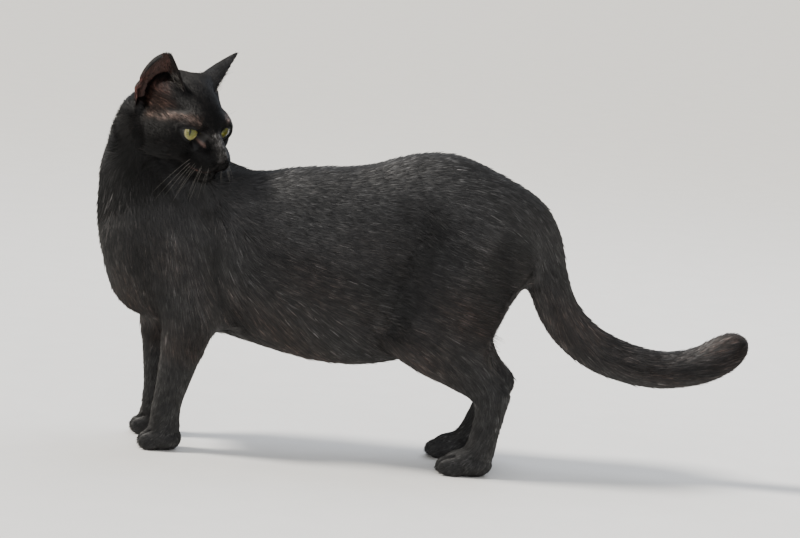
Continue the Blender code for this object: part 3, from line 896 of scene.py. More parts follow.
@dataclass
class Skin:
    """One skin over the whole cat, below the outline of the solids by the depth of the coat."""

    head: HeadFrame
    grain: float = 2.55 * MM
    gap_fill: float = 0.4 * MM
    rounds: int = 30
    face_depth: float = 1.7  # how far below their lumps the face and the paws lie
    paw_depth: float = 1.5
    face_draw: float = 6.0  # how near a lump the skin is drawn onto it
    paw_draw: float = 3.2
    seam_rounds: int = 10  # how wide the eased seam behind the head is
    ease_rounds: int = 16  # how much it is eased
    flesh: HeadFlesh = field(default_factory=HeadFlesh)
    piece: bpy.types.Object = field(init=False)
    owners: list[str] = field(init=False)
    nearest: BVHTree = field(init=False)
    openings: list[EyeOpening] = field(init=False)
    ear_start: int = field(init=False)
    tree: BVHTree = field(init=False)

    def __post_init__(self) -> None:
        """Sets out the lids and the search for the nearest node."""
        self.openings = [
            EyeOpening(side, self.head.to_head(self.head.eyes[side]), **OPEN_LIDS[side]) for side in SIDES
        ]
        points, faces, self.owners = [], [], []
        offset = 0
        for name in sorted(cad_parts):
            if name.startswith("eye"):
                continue
            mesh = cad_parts[name].data
            points.append(positions(mesh))
            triangles = triangles_of(mesh)
            faces.append(triangles + offset)
            self.owners += [name] * len(triangles)
            offset += len(mesh.vertices)
        tree_points = [Vector(point) for point in np.concatenate(points)]
        self.nearest = BVHTree.FromPolygons(tree_points, np.concatenate(faces).tolist())

    def nodes_at(self, points: np.ndarray) -> list[str]:
        """Names the node nearest to each point."""
        return [self.owners[self.nearest.find_nearest(Vector(point))[2]] for point in points]

    def joined(self) -> bpy.types.Object:
        """Joins the solids and the head's and toes' lumps into one closed mesh.

        Returns:
            The object.
        """
        whole = bmesh.new()
        for name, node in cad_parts.items():
            if name.startswith("ear"):
                continue
            grow = -1.0 * MM if name == "head" else self.gap_fill
            solid = bmesh.new()
            solid.from_mesh(node.data)
            bmesh.ops.remove_doubles(solid, verts=solid.verts, dist=1e-6)
            solid.normal_update()
            for vertex in solid.verts:
                vertex.co += vertex.normal * grow
            grown = bpy.data.meshes.new("grown")
            solid.to_mesh(grown)
            solid.free()
            whole.from_mesh(grown)
            bpy.data.meshes.remove(grown)
        axes = Matrix(self.head.axes.tolist()).to_4x4()
        for lump in self.flesh.lumps():
            for centre, radii in lump.balls():
                self.add_ball(whole, self.head.to_world(centre), axes, radii)
        for paw in PAWS:
            for lump in paw.lumps()[1:]:
                centre = paw.floor_point() + MM * np.array(lump.centre)
                self.add_ball(whole, centre, Matrix.Identity(4), np.array(lump.radii))
        mesh = bpy.data.meshes.new("skin")
        whole.to_mesh(mesh)
        whole.free()
        skin = new_piece("skin", mesh)
        remesh = skin.modifiers.new("join", "REMESH")
        remesh.mode = "VOXEL"
        remesh.voxel_size = self.grain
        with_modifiers(skin)
        return skin

    def add_ball(self, whole: bmesh.types.BMesh, centre: np.ndarray, axes: Matrix, radii: np.ndarray) -> None:
        """Adds an ellipsoid, its radii in millimetres, to a bmesh in metres.

        Args:
            whole: What the ball is added to.
            centre: Its middle.
            axes: The turn of its axes.
            radii: Its three radii.
        """
        size = Matrix.Diagonal((*(radii * MM), 1))
        matrix = Matrix.Translation(Vector(centre)) @ axes @ size
        bmesh.ops.create_icosphere(whole, subdivisions=3, radius=1.0, matrix=matrix)

    def evened(self, mesh: bpy.types.Mesh, regions: list[Region]) -> None:
        """Evens out the solids' facets and sinks the skin by the coat's depth.

        Args:
            mesh: The skin's mesh.
            regions: The region of each vertex.
        """
        edges = edges_of(mesh)
        points = positions(mesh)
        even = averaged(np.array([PELTS[region].smoothing for region in regions]), edges)
        depth = np.array([PELTS[region].depth for region in regions])
        for _ in range(self.rounds):
            points += 0.5 * even[:, None] * (averaged(points, edges) - points)
            depth = averaged(depth, edges)
        set_positions(mesh, points)
        floor = smoothstep(0.0, 5 * MM, points[:, 2])
        relief = sum(stroke.height_at(points / MM) for stroke in BODY_STROKES)
        on_body = ~np.isin([region.value for region in regions], ("head", "tail", "paw"))
        lift = averaged((relief * on_body)[:, None], edges)[:, 0] - depth * floor
        sunk = points + vertex_normals(mesh) * (lift * MM)[:, None]
        for _ in range(2):
            sunk += 0.5 * even[:, None] * (averaged(sunk, edges) - sunk)
        set_positions(mesh, sunk)

    def drawn(self, mesh: bpy.types.Mesh) -> None:
        """Draws the head and the paws onto their lumps.

        Args:
            mesh: The skin's mesh.
        """
        points = positions(mesh)
        on_head = self.head.to_head(points)
        near = np.flatnonzero((on_head[:, 0] > -75) & (np.linalg.norm(on_head, axis=1) < 90))
        goal = drawn_to(on_head[near], self.flesh.lumps(), self.face_depth, self.face_draw)
        points[near] = self.head.to_world(goal)
        for paw in PAWS:
            local = (points - paw.floor_point()) / MM
            near = np.flatnonzero((np.linalg.norm(local, axis=1) < 45) & (local[:, 2] < 22))
            goal = drawn_to(local[near], paw.lumps(), self.paw_depth, self.paw_draw)
            low = smoothstep(22, 12, local[near, 2])[:, None]
            sunk = sum(groove.height_at(local[near]) for groove in paw.grooves())
            points[near] += low * (goal - local[near]) * MM
            points[near] += vertex_normals(mesh)[near] * (sunk * MM)[:, None]
        points[:, 2] = np.maximum(points[:, 2], 0.3 * MM)
        set_positions(mesh, points)

    def eased(self, mesh: bpy.types.Mesh) -> None:
        """Rounds the crease where the head meets the neck.

        Args:
            mesh: The skin's mesh.
        """
        points, edges = positions(mesh), edges_of(mesh)
        on_head = np.array([float(name == "head") for name in self.nodes_at(points)])
        for _ in range(self.seam_rounds):
            on_head = averaged(on_head, edges)
        seam = np.clip(4.4 * on_head * (1 - on_head), 0, 1)[:, None]
        for _ in range(self.ease_rounds):
            points += 0.6 * seam * (averaged(points, edges) - points)
        set_positions(mesh, points)

    def refined(self, mesh: bpy.types.Mesh, keep: np.ndarray) -> None:
        """Splits the faces whose corners are all marked in keep.

        Args:
            mesh: The skin's mesh.
            keep: Whether each vertex is marked.
        """
        with edited(mesh) as fine:
            fine.verts.ensure_lookup_table()
            marked = [edge for edge in fine.edges if all(keep[vertex.index] for vertex in edge.verts)]
            bmesh.ops.subdivide_edges(fine, edges=marked, cuts=1, use_grid_fill=True)

    def sculpted(self, mesh: bpy.types.Mesh) -> None:
        """Draws the folds of the face and lays the lids over the eyeballs.

        Args:
            mesh: The skin's mesh.
        """
        points = positions(mesh)
        normals = vertex_normals(mesh)
        local = self.head.to_head(points)
        near = np.flatnonzero(local[:, 0] > -66)
        lift = sum(stroke.height_at(local[near]) for stroke in FACE_STROKES)
        points[near] += normals[near] * (lift * MM)[:, None]
        local[near] = self.head.to_head(points[near])
        for opening in self.openings:
            inside = np.flatnonzero(np.linalg.norm(local - opening.centre, axis=1) < 19)
            ahead = (local[inside] - opening.centre) @ opening.axes()[:, 0] > 0
            inside = inside[ahead]
            drop = set(inside[opening.outside(local[inside]) < 0].tolist())
            local = opening.shaped(local)
            self.cut_out(mesh, local, drop)
            local = self.head.to_head(positions(mesh))

    def cut_out(self, mesh: bpy.types.Mesh, local: np.ndarray, drop: set[int]) -> None:
        """Moves the skin to its shaped points and removes the faces whose corners are all in drop.

        Args:
            mesh: The skin's mesh.
            local: Its shaped points, in the head's millimetres.
            drop: The vertices inside the opening.
        """
        set_positions(mesh, self.head.to_world(local))
        with edited(mesh) as cut:
            gone = [face for face in cut.faces if all(vertex.index in drop for vertex in face.verts)]
            bmesh.ops.delete(cut, geom=gone, context="FACES")

    def cupped(self, vertices: np.ndarray) -> np.ndarray:
        """Tells which of the ears' vertices are on the cupped side."""
        around = 2 * (EarShell.columns + 1)
        return (vertices - self.ear_start) % around > EarShell.columns

    def build(self) -> None:
        """Makes the skin, finest round the eyes, and joins the ears to it."""
        self.piece = self.joined()
        mesh = self.piece.data
        self.evened(mesh, [region_of(node) for node in self.nodes_at(positions(mesh))])
        self.drawn(mesh)
        points = positions(mesh)
        local = self.head.to_head(points)
        face = (local[:, 0] > -34) & (np.abs(local[:, 1]) < 46) & (np.abs(local[:, 2]) < 46)
        self.refined(mesh, face | (points[:, 2] < 20 * MM))
        self.drawn(mesh)
        local = self.head.to_head(positions(mesh))
        fine = (local[:, 0] > 16) & (np.abs(local[:, 1]) < 18)
        for opening in self.openings:
            away = local - opening.centre
            fine |= (np.linalg.norm(away, axis=1) < 16) & (away[:, 0] > -2)
        self.refined(mesh, fine & (local[:, 2] < 20) & (local[:, 2] > -34))
        self.drawn(mesh)
        self.eased(mesh)
        self.sculpted(mesh)
        with edited(mesh) as whole:
            self.ear_start = len(whole.verts)
            for side in SIDES:
                whole.from_mesh(EarShell(side, self.head).mesh())
            bmesh.ops.triangulate(whole, faces=whole.faces[:])
        mesh.shade_smooth()


# --- Markings of the skin -----------------------------------------------------------------------


@dataclass(frozen=True)
class NoseLeather:
    """The bare dark skin round the nostrils, in millimetres of the head."""

    back: float = 28.8
    half_width: float = 5.8
    low: float = -16.0
    high: float = -7.6

    def share(self, local: np.ndarray) -> np.ndarray:
        """Gives 1 on the nose and 0 off it.

        Args:
            local: Points of the head.

        Returns:
            A share for each.
        """
        aside = smoothstep(self.half_width + 0.6, self.half_width - 0.6, np.abs(local[:, 1]))
        tall = smoothstep(self.low - 0.6, self.low + 0.6, local[:, 2])
        tall *= smoothstep(self.high + 0.6, self.high - 0.6, local[:, 2])
        return aside * tall * smoothstep(self.back - 0.5, self.back + 0.5, local[:, 0])


# Places of the head with thin hair: a line, its width, and the share of tufts that are missing.
# The temple band is partly bare skin and partly painted sunlight: its pale colour also stands for the sun
# falling across it.
TEMPLE_BAND_BARE_AND_LIT = (
    ((-37, 36, -5), (-28, 35, -1), (-19, 33, 4), (-12, 29, 9), (-3, 24, 11.5), (3, 17, 12.5)),
    3.5,
    0.45,
)
TEMPLE_FIELD = (((-39, 34, 7), (-31, 32, 10.5), (-24, 29.5, 13)), 6.0, 0.5)
EAR_MOUTH = (((-35, 29, 21), (-42, 32, 14), (-49, 35, 6)), 6.0, 0.8)
INNER_CORNER = (((8.0, 10.6, -2.2), (12.8, 8.8, -8.0)), 1.6, 0.75)
MOUTH_CORNER = (((14.5, 15.2, -25), (19.5, 12.6, -26)), 2.3, 0.6)
# Painted sheen: the bridge of the nose is painted a lighter grey, as if lit; no tufts are missing there.
BRIDGE_PAINTED_SHEEN = (((31, 1.5, -6.5), (24, 2.5, -2.5), (16, 3.0, 1.5)), 4.2, 0.0)


@dataclass
class Markings:
    """Colours the skin: black all over, with bare browner places on the head, painted sunlight on the temple
    band, a painted sheen on the bridge of the nose, and dark pads.
    """

    skin: Skin
    head: HeadFrame
    base: str = "#0d0b0a"
    # partly the bare temple's skin, partly painted sunlight on it
    temple_skin_and_light: str = "#5f5049"
    temple_field: str = "#47362f"
    ear_inside: str = "#46302a"
    # painted sheen along the bridge of the nose
    bridge_painted_sheen: str = "#5b5855"
    ear_rim: str = "#55342f"
    nose: str = "#1b1716"
    lips: str = "#3a2724"
    lid_edge: str = "#060505"
    corner: str = "#93776d"
    pads: str = "#1b1514"

    def tint(self, colours: np.ndarray, share: np.ndarray, code: str) -> None:
        """Mixes a colour into the vertices' colours by a share for each."""
        colours += np.clip(share, 0, 1)[:, None] * (np.array(rgb(code)) - colours)

    def along(self, local: np.ndarray, width: float, *line: Place) -> np.ndarray:
        """Gives how near points of either side are to a line, from 1 on it down to 0."""
        return np.clip(Stroke(line, width, 1.2).height_at(local), 0, 1) * (local[:, 0] > -62)

    def paint_ears(self, colours: np.ndarray, local: np.ndarray) -> None:
        """Colours the ears' cups, reddish at the lower outer rim.

        Args:
            colours: The colours of all vertices, which it changes.
            local: The vertices' places on the head.
        """
        on_ear = np.arange(len(local)) >= self.skin.ear_start
        cup = np.zeros(len(local))
        cup[on_ear] = self.skin.cupped(np.flatnonzero(on_ear))
        self.tint(colours, cup * smoothstep(-6, 8, local[:, 2]), self.ear_inside)
        around = 2 * (EarShell.columns + 1)
        column = (np.arange(len(local)) - self.skin.ear_start) % around
        outer = np.minimum(np.abs(column - EarShell.columns), np.abs(column - EarShell.columns - 1))
        low = smoothstep(34, 12, local[:, 2]) * smoothstep(-2, 6, local[:, 2])
        self.tint(colours, 0.75 * on_ear * smoothstep(4.5, 0.5, outer) * low, self.ear_rim)
        inner = np.minimum(column, np.abs(column - around + 1))
        self.tint(colours, 0.9 * cup * smoothstep(9, 5, inner), self.base)

    def paint(self) -> None:
        """Stores the colours in the skin's attribute."""
        mesh = self.skin.piece.data
        points = positions(mesh)
        local = self.head.to_head(points)
        colours = np.tile(np.array(rgb(self.base)), (len(points), 1))
        for (line, width, _), share, code in (
            (BRIDGE_PAINTED_SHEEN, 0.7, self.bridge_painted_sheen),
            (MOUTH_CORNER, 1.0, self.lips),
            (EAR_MOUTH, 0.9, self.ear_inside),
            (TEMPLE_FIELD, 0.9, self.temple_field),
            (TEMPLE_BAND_BARE_AND_LIT, 0.95, self.temple_skin_and_light),
        ):
            first = np.sin(local @ np.array((0.9, 0.5, 0.4)))
            second = np.sin(local @ np.array((-0.3, 0.7, 1.1)))
            uneven = 0.8 + 0.2 * first * second
            self.tint(colours, uneven * share * self.along(local, width, *line), code)
        self.tint(colours, self.along(local, 1.3, (29.5, 2, -21.5), (26, 6.5, -24)), self.lips)
        self.tint(colours, 0.6 * self.along(local, 1.3, (26, 6.5, -24), (15, 15.0, -25.5)), self.lips)
        self.tint(colours, NoseLeather().share(local), self.nose)
        self.tint(colours, self.along(local, INNER_CORNER[1], *INNER_CORNER[0]), self.corner)
        for opening in self.skin.openings:
            near = np.linalg.norm(local - opening.centre, axis=1) < 16
            out = np.full(len(local), 9.0)
            out[near] = opening.outside(local[near])
            self.tint(colours, smoothstep(2.2, 1.3, out), self.lid_edge)
        self.paint_ears(colours, local)
        self.tint(colours, smoothstep(3 * MM, 1.0 * MM, points[:, 2]), self.pads)
        layer = mesh.color_attributes.new("hide", "FLOAT_COLOR", "POINT")
        rows = np.concatenate([colours, np.ones((len(points), 1))], axis=1)
        layer.data.foreach_set("color", rows.astype(np.float32).ravel())


# --- The coat -----------------------------------------------------------------------------------


@dataclass(frozen=True)
class Guide:
    """A line that the hairs near it follow, in metres."""

    start: np.ndarray
    end: np.ndarray


@dataclass
class Lie:
    """The directions in which the coat lies, read from guides along the body."""

    head: HeadFrame
    softness: float = 12 * MM
    falloff: float = 2.5  # the power of the squared distance by which a guide's pull fades

    def on_head(self, *points: Place) -> list[Guide]:
        """Makes guides through points of the head, on both of its sides.

        Args:
            points: The points, in the head's millimetres.

        Returns:
            The guides.
        """
        found = []
        for side in SIDES:
            line = self.head.to_world(np.array(points) * (1, side, 1))
            found += [Guide(a, b) for a, b in zip(line[:-1], line[1:])]
        return found

    def along(self, *points: Place) -> list[Guide]:
        """Makes guides through points of the world."""
        line = [np.array(point, float) for point in points]
        return [Guide(a, b) for a, b in zip(line[:-1], line[1:])]

    def head_guides(self) -> list[Guide]:
        """Lists the guides of the face, skull and ears.

        Returns:
            The guides.
        """
        found = self.on_head((33, 0, -7), (18, 0, 0), (2, 0, 13), (-20, 0, 27), (-48, 0, 30), (-70, 0, 10))
        found += self.on_head((31, 6, -12), (20, 14, -18), (2, 24, -16), (-20, 36, -12), (-45, 40, -8))
        found += self.on_head((24, 4, -34), (0, 12, -38), (-25, 20, -38), (-50, 28, -34))
        found += self.on_head((20, 7, -6), (8, 15, -11), (-4, 27, -4), (-24, 36, 6))
        found += self.on_head((6, 8, 10), (-12, 16, 22), (-28, 22, 30))
        found += self.on_head((4, 12, 11), (-10, 26, 12), (-30, 34, 12), (-50, 36, 2))
        for side in SIDES:
            shape = EAR_SHAPES[side]
            for foot in (shape.inner_foot, shape.outer_foot):
                line = self.head.to_world(np.array([foot, shape.tip]))
                found.append(Guide(line[0], line[1]))
        return found

    def body_guides(self) -> list[Guide]:
        """Lists the guides of the neck, trunk, legs and tail.

        Returns:
            The guides.
        """
        low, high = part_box("trunk")
        back, belly = high.z, low.z
        withers, rump = low.x + 0.12, high.x - 0.01
        found = self.along((withers, 0, back - 0.02), (low.x + 0.25, 0, back - 0.012), (rump, 0, back - 0.01))
        found += self.along((low.x + 0.02, 0, back - 0.04), (low.x + 0.03, 0, belly + 0.05))
        found += self.along((low.x + 0.1, 0, belly + 0.012), (high.x - 0.08, 0, belly))
        found += self.along((rump, 0, back - 0.01), (high.x + 0.03, 0, back - 0.075))
        for side in SIDES:
            name = "left" if side < 0 else "right"
            y = side * 0.055
            found += self.along((low.x + 0.13, y, back - 0.035), (high.x - 0.1, y, back - 0.055))
            found += self.along((low.x + 0.15, y, belly + 0.085), (high.x - 0.12, y, belly + 0.055))
            found += self.along((low.x + 0.13, y, belly + 0.075), (low.x + 0.2, 0.8 * y, belly + 0.01))
            found += self.along((low.x + 0.2, y, belly + 0.05), (high.x - 0.12, 0.7 * y, belly))
            head = self.head.to_world((-45, side * 34, -20))
            found += self.along(head, (low.x + 0.045, y, back - 0.03), (low.x + 0.075, y, belly + 0.05))
            shoulder, paw = middle_of(f"foreleg_{name}_upper_arm"), middle_of(f"foreleg_{name}_paw")
            fore = middle_of(f"foreleg_{name}_forearm")
            found += self.along(shoulder + (-0.005, 0, 0.05), shoulder + (0.01, 0, -0.05), fore)
            found += self.along(fore, paw + (0.004, 0, 0.012), paw + (-0.022, 0, -0.006))
            thigh, shank = middle_of(f"hindleg_{name}_thigh"), middle_of(f"hindleg_{name}_shank")
            foot, hind = middle_of(f"hindleg_{name}_foot"), middle_of(f"hindleg_{name}_paw")
            for drop in (0.05, 0.01, -0.03):
                front = thigh + (-0.04 + 0.3 * abs(drop), 0, drop)
                found += self.along(front, thigh + (0.05 - 0.2 * abs(drop), 0, drop - 0.022))
            found += self.along(thigh + (-0.01, 0, -0.05), shank + (0.01, 0, 0.0), foot + (0, 0, 0.03))
            found += self.along(foot + (0.006, 0, 0.03), foot + (0.0, 0, -0.01))
            found += self.along(foot, hind + (0.008, 0, 0.012), hind + (-0.024, 0, -0.006))
        left_neck = (self.head.to_world((-45, 34, -20)), (-0.231, -0.040, 0.243), (-0.212, -0.049, 0.174))
        under_chin = (self.head.to_world((10, 0, -40)), (-0.181, -0.043, 0.205), (-0.165, -0.046, 0.165))
        behind_chin = (self.head.to_world((16, -8, -36)), (-0.161, -0.028, 0.229), (-0.1, -0.04, 0.218))
        found += self.along(*left_neck) + self.along(*under_chin) + self.along(*behind_chin)
        tail = [middle_of(name) for name in TAIL_NODES]
        tip = tail[-1] + (0.03, 0, 0.015)
        found += self.along((rump + 0.005, 0, back - 0.04), *tail, tip)
        found += self.along(*tail[-2:], tip + (0.02, 0, 0.01))
        return found

    def at(self, points: np.ndarray, normals: np.ndarray) -> np.ndarray:
        """Finds the lie of the coat on the skin.

        Args:
            points: The roots of the hairs.
            normals: The skin's normals there.

        Returns:
            Unit directions along the skin.
        """
        total = np.zeros_like(points)
        for guide in self.head_guides() + self.body_guides():
            _, away = to_segment(points, guide.start, guide.end)
            weight = 1 / (away**2 + self.softness**2) ** self.falloff
            total += weight[:, None] * unit(guide.end - guide.start)
        flat = total - (total * normals).sum(axis=1)[:, None] * normals
        return unit(flat)


@dataclass
class Roots:
    """Where tufts leave the skin, and what each tuft is like. Lengths are in metres."""

    places: np.ndarray
    normals: np.ndarray
    lie: np.ndarray
    length: np.ndarray
    width: np.ndarray
    rise: np.ndarray
    colour: np.ndarray
    chart: np.ndarray
    region: np.ndarray


@dataclass
class Coat:
    """Thin overlapping tufts of fur, grown from the skin along the lie of the coat."""

    skin: Skin
    head: HeadFrame
    seed: int = 7
    most_tufts: int = 362000
    most_in_piece: int = 46000
    stray_share: float = 0.04  # of tufts that stand out from the others
    stray_rise: float = 1.25
    stray_length: float = 1.15
    stray_width: float = 0.7
    length_range: tuple[float, float] = (0.72, 1.22)  # how tufts differ from their region's measures
    rise_range: tuple[float, float] = (0.5, 1.0)
    width_range: tuple[float, float] = (0.75, 1.25)
    steepest: float = 0.55  # the most that a tuft rises, as a share of its length
    own_turn: float = 0.07  # how far single tufts turn from the lie, in radians
    wave_turn: float = 0.06  # how far stretches of the coat do
    blend_rounds: int = 14  # how widely the measures of neighbouring regions blend
    sunk: float = 0.35  # how deep a tuft's base lies, as a share of its width
    set_back: float = 0.08  # how far behind its root it starts, as a share of its length
    crest: float = 0.3  # where its roof is highest, as a share of its length
    crest_width: float = 0.5  # how high the roof is there, as a share of its width
    crest_rise: float = 0.3  # and, added to that, as a share of its rise
    # Painted shade: each tuft is painted dark at its buried base, where the coat shades it, and lighter
    # towards its tip.
    shading: tuple[float, ...] = (0.3, 0.3, 0.8, 1.3)  # brightness at the base's corners, crest and tip
    normal_mix: tuple[float, float] = (0.55, 0.45)  # shares of a tuft's own shading and of the skin's
    black: str = "#2c2c2c"
    # Painted shade: the face, and the neck near it, are painted a much deeper black than the body, as if in
    # shade.
    face_black_painted_shade: str = "#080707"
    brown: str = "#3a251a"
    patch: float = 0.003  # a tuft's width on the map that colours are kept on
    lock: float = 2.4 * MM  # the breadth of a lock of hairs
    face_centre: Place = (-15, 0, -5)  # of the black of the face, in the head's millimetres
    face_reach: tuple[float, float] = (50, 94)  # how far from there it is full, and where it ends
    own_uneven: float = 0.6  # how far tufts differ in brightness, as a power of e
    lock_uneven: float = 0.5  # how far locks do
    # Painted shade and light: tufts over the body's hollows are painted darker, and those over its ridges
    # lighter.
    painted_relief_shade: float = 0.17  # how much brightness follows each millimetre of relief
    # Painted shade: the front of the chest is painted darker, as if shaded.
    painted_chest_shade: float = 0.4  # how much darker the chest is
    hock: tuple[float, float] = (0.090, 0.090)  # how far back and how high the points of the hocks are
    coats: tuple[tuple[str, tuple[Region, ...]], ...] = (
        ("coat_head", (Region.HEAD, Region.EAR)),
        ("coat_neck", (Region.NECK,)),
        ("coat_trunk", (Region.TRUNK,)),
        ("coat_tail", (Region.TAIL,)),
        ("coat_shoulders", (Region.ARM,)),
        ("coat_forelegs", (Region.FOREARM, Region.PAW)),
        ("coat_thighs", (Region.THIGH,)),
        ("coat_hindlegs", (Region.SHANK, Region.FOOT)),
    )

    def bare(self, local: np.ndarray, world: np.ndarray) -> np.ndarray:
        """Gives the share of tufts that grow at places: none on the nose, lids and pads.

        Args:
            local: The places on the head.
            world: The same places in metres.

        Returns:
            A share for each.
        """
        keep = 1 - NoseLeather().share(local)
        for opening in self.skin.openings:
            near = np.flatnonzero(np.linalg.norm(local - opening.centre, axis=1) < 18)
            out = opening.outside(local[near])
            keep[near] *= smoothstep(0.7, 2.4, out)
        keep[world[:, 2] < 1.2 * MM] = 0
        for line, width, thin in (TEMPLE_BAND_BARE_AND_LIT, TEMPLE_FIELD, EAR_MOUTH, INNER_CORNER, MOUTH_CORNER):
            keep *= 1 - thin * np.clip(Stroke(line, width, 1.0).height_at(local), 0, 1)
        return keep

    def measures(self, points: np.ndarray, number: np.ndarray, edges: np.ndarray) -> np.ndarray:
        """Gives each vertex the tufts' length, width, density and rise, evened between regions.

        Args:
            points: The skin's vertices.
            number: The number of each vertex's region.
            edges: The skin's edges.

        Returns:
            Rows of the four measures.
        """
        pelts = [PELTS[region] for region in Region]
        table = np.array([(pelt.length, pelt.width, pelt.density, pelt.depth) for pelt in pelts])
        found = table[number]
        on_ear = number == list(Region).index(Region.EAR)
        for _ in range(self.blend_rounds):
            found[~on_ear] = averaged(found, edges)[~on_ear]
        local = self.head.to_head(points)
        on_head = number == list(Region).index(Region.HEAD)
        found[:, 0] *= np.where(on_head, self.face_share(local), 1.0)
        found[:, 2] *= np.where(on_head, 1 + 0.5 * smoothstep(0, 25, local[:, 0]), 1.0)
        return found

    def sampled(self) -> Roots:
        """Scatters roots over the skin as densely as each stretch of body needs.

        Returns:
            The roots, each with its tuft's measures.
        """
        rng = np.random.default_rng(self.seed)
        mesh = self.skin.piece.data
        points, normals = positions(mesh), vertex_normals(mesh)
        triangles, edges = triangles_of(mesh), edges_of(mesh)
        order = list(Region)
        number = np.array([order.index(region_of(node)) for node in self.skin.nodes_at(points)])
        number[self.skin.ear_start :] = order.index(Region.EAR)
        measures = self.measures(points, number, edges)
        hide = np.empty(len(points) * 4, np.float32)
        mesh.color_attributes["hide"].data.foreach_get("color", hide)
        corners = points[triangles]
        normal = np.cross(corners[:, 1] - corners[:, 0], corners[:, 2] - corners[:, 0])
        area = np.linalg.norm(normal, axis=1) / 2 / MM**2
        middle = corners.mean(axis=1)
        dense = measures[:, 2][triangles].mean(axis=1) * self.bare(self.head.to_head(middle), middle)
        dense *= self.ear_share(middle, triangles[:, 0])
        wanted = area * dense
        wanted *= min(1.0, self.most_tufts / wanted.sum())
        count = np.floor(wanted + rng.random(len(wanted))).astype(int)
        which = np.repeat(np.arange(len(count)), count)
        spread = rng.random((len(which), 2))
        folded = spread.sum(axis=1) > 1
        spread[folded] = 1 - spread[folded]
        shares = np.stack([1 - spread.sum(axis=1), spread[:, 0], spread[:, 1]], axis=1)[:, :, None]
        chosen = triangles[which]
        place = (points[chosen] * shares).sum(axis=1)
        upright = unit((normals[chosen] * shares).sum(axis=1))
        measure = (measures[chosen] * shares).sum(axis=1)
        lie = Lie(self.head).at(place, upright)
        waves = np.sin(place @ np.array((210.0, 160.0, 260.0)))
        turn = rng.normal(0, self.own_turn, len(place)) + self.wave_turn * waves
        lie = unit(lie + turn[:, None] * np.cross(upright, lie))
        stray = rng.random(len(place)) < self.stray_share
        long = measure[:, 0] * rng.uniform(*self.length_range, len(place)) * self.belly_share(place, upright)
        long *= self.tail_share(place) * self.hock_share(place)
        rise = measure[:, 3] * rng.uniform(*self.rise_range, len(place))
        rise *= np.where(stray, self.stray_rise, 1.0)
        width = measure[:, 1] * rng.uniform(*self.width_range, len(place))
        width *= np.where(stray, self.stray_width, 1.0)
        hide_colour = (hide.reshape(-1, 4)[:, :3][chosen] * shares).sum(axis=1)
        return Roots(
            places=place,
            normals=upright,
            lie=lie,
            length=long * np.where(stray, self.stray_length, 1.0) * MM,
            width=width * MM,
            rise=np.minimum(rise, self.steepest * long) * MM,
            colour=self.colours(place, hide_colour, rng),
            chart=self.charts(place),
            region=number[chosen[:, 0]],
        )

    def face_share(self, local: np.ndarray) -> np.ndarray:
        """Shortens the tufts towards the nose and the eyes."""
        return 0.42 + 1.05 * smoothstep(22, -58, local[:, 0]) + 0.25 * smoothstep(-14, -34, local[:, 2])

    def belly_share(self, place: np.ndarray, upright: np.ndarray) -> np.ndarray:
        """Lengthens the tufts under the belly and chest."""
        low = smoothstep(0.16, 0.11, place[:, 2]) * smoothstep(0.075, 0.09, place[:, 2])
        return 1 + 0.6 * low * smoothstep(0.3, -0.6, upright[:, 2])

    def tail_share(self, place: np.ndarray) -> np.ndarray:
        """Shortens the tufts towards the end of the tail."""
        return 0.5 + 0.5 * smoothstep(0.0, 0.03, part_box("tail_tip")[1][0] - place[:, 0])

    def hock_share(self, place: np.ndarray) -> np.ndarray:
        """Shortens the tufts on the points of the hocks."""
        away = np.hypot(place[:, 0] - self.hock[0], place[:, 2] - self.hock[1])
        return 0.35 + 0.65 * smoothstep(0.006, 0.02, away)

    def ear_share(self, middle: np.ndarray, corner: np.ndarray) -> np.ndarray:
        """Thins the tufts on the cupped side of the ears.

        Args:
            middle: The middles of the skin's triangles.
            corner: The first vertex of each.

        Returns:
            A share for each, 1 off the ears.
        """
        share = np.ones(len(middle))
        on_ear = corner >= self.skin.ear_start
        share[on_ear] = np.where(self.skin.cupped(corner[on_ear]), 0.3, 1.0)
        share[on_ear] *= smoothstep(-4, 8, self.head.to_head(middle[on_ear])[:, 2])
        return share

    def colours(
        self, place: np.ndarray, hide: np.ndarray, rng: np.random.Generator
    ) -> np.ndarray:
        """Gives each tuft its colour: black, sun-browned in places, with the skin's markings.

        Args:
            place: The roots.
            hide: The skin's colours there.
            rng: The source of chance.

        Returns:
            Linear colours.
        """
        waves = np.sin(place @ np.array((61.0, 23.0, 87.0))) + np.sin(place @ np.array((-37.0, 70.0, 45.0)))
        low = smoothstep(0.25, 0.12, place[:, 2]) * smoothstep(0.075, 0.1, place[:, 2])
        chest = smoothstep(-0.2, -0.27, place[:, 0])
        brown = 0.03 + 0.17 * low + 0.1 * chest * low + 0.08 * waves * low
        brown = np.clip(brown * rng.uniform(0.3, 1.7, len(place)), 0, 1)[:, None]
        # Painted shade: near the head the tufts blend into the face's deeper black, and their brown fades.
        from_head = np.linalg.norm(self.head.to_head(place) - self.face_centre, axis=1)
        face = smoothstep(self.face_reach[1], self.face_reach[0], from_head)[:, None]
        black = np.array(rgb(self.black)) * (1 - face) + np.array(rgb(self.face_black_painted_shade)) * face
        brown = brown * (1 - 0.6 * face)
        hair = black * (1 - brown) + np.array(rgb(self.brown)) * brown
        # The skin's markings carry into the hair, with the painted sheen on the nose's bridge and the painted
        # sunlight on the temple band.
        extra = np.clip(hide - np.array(rgb(Markings.base)), 0, 1)
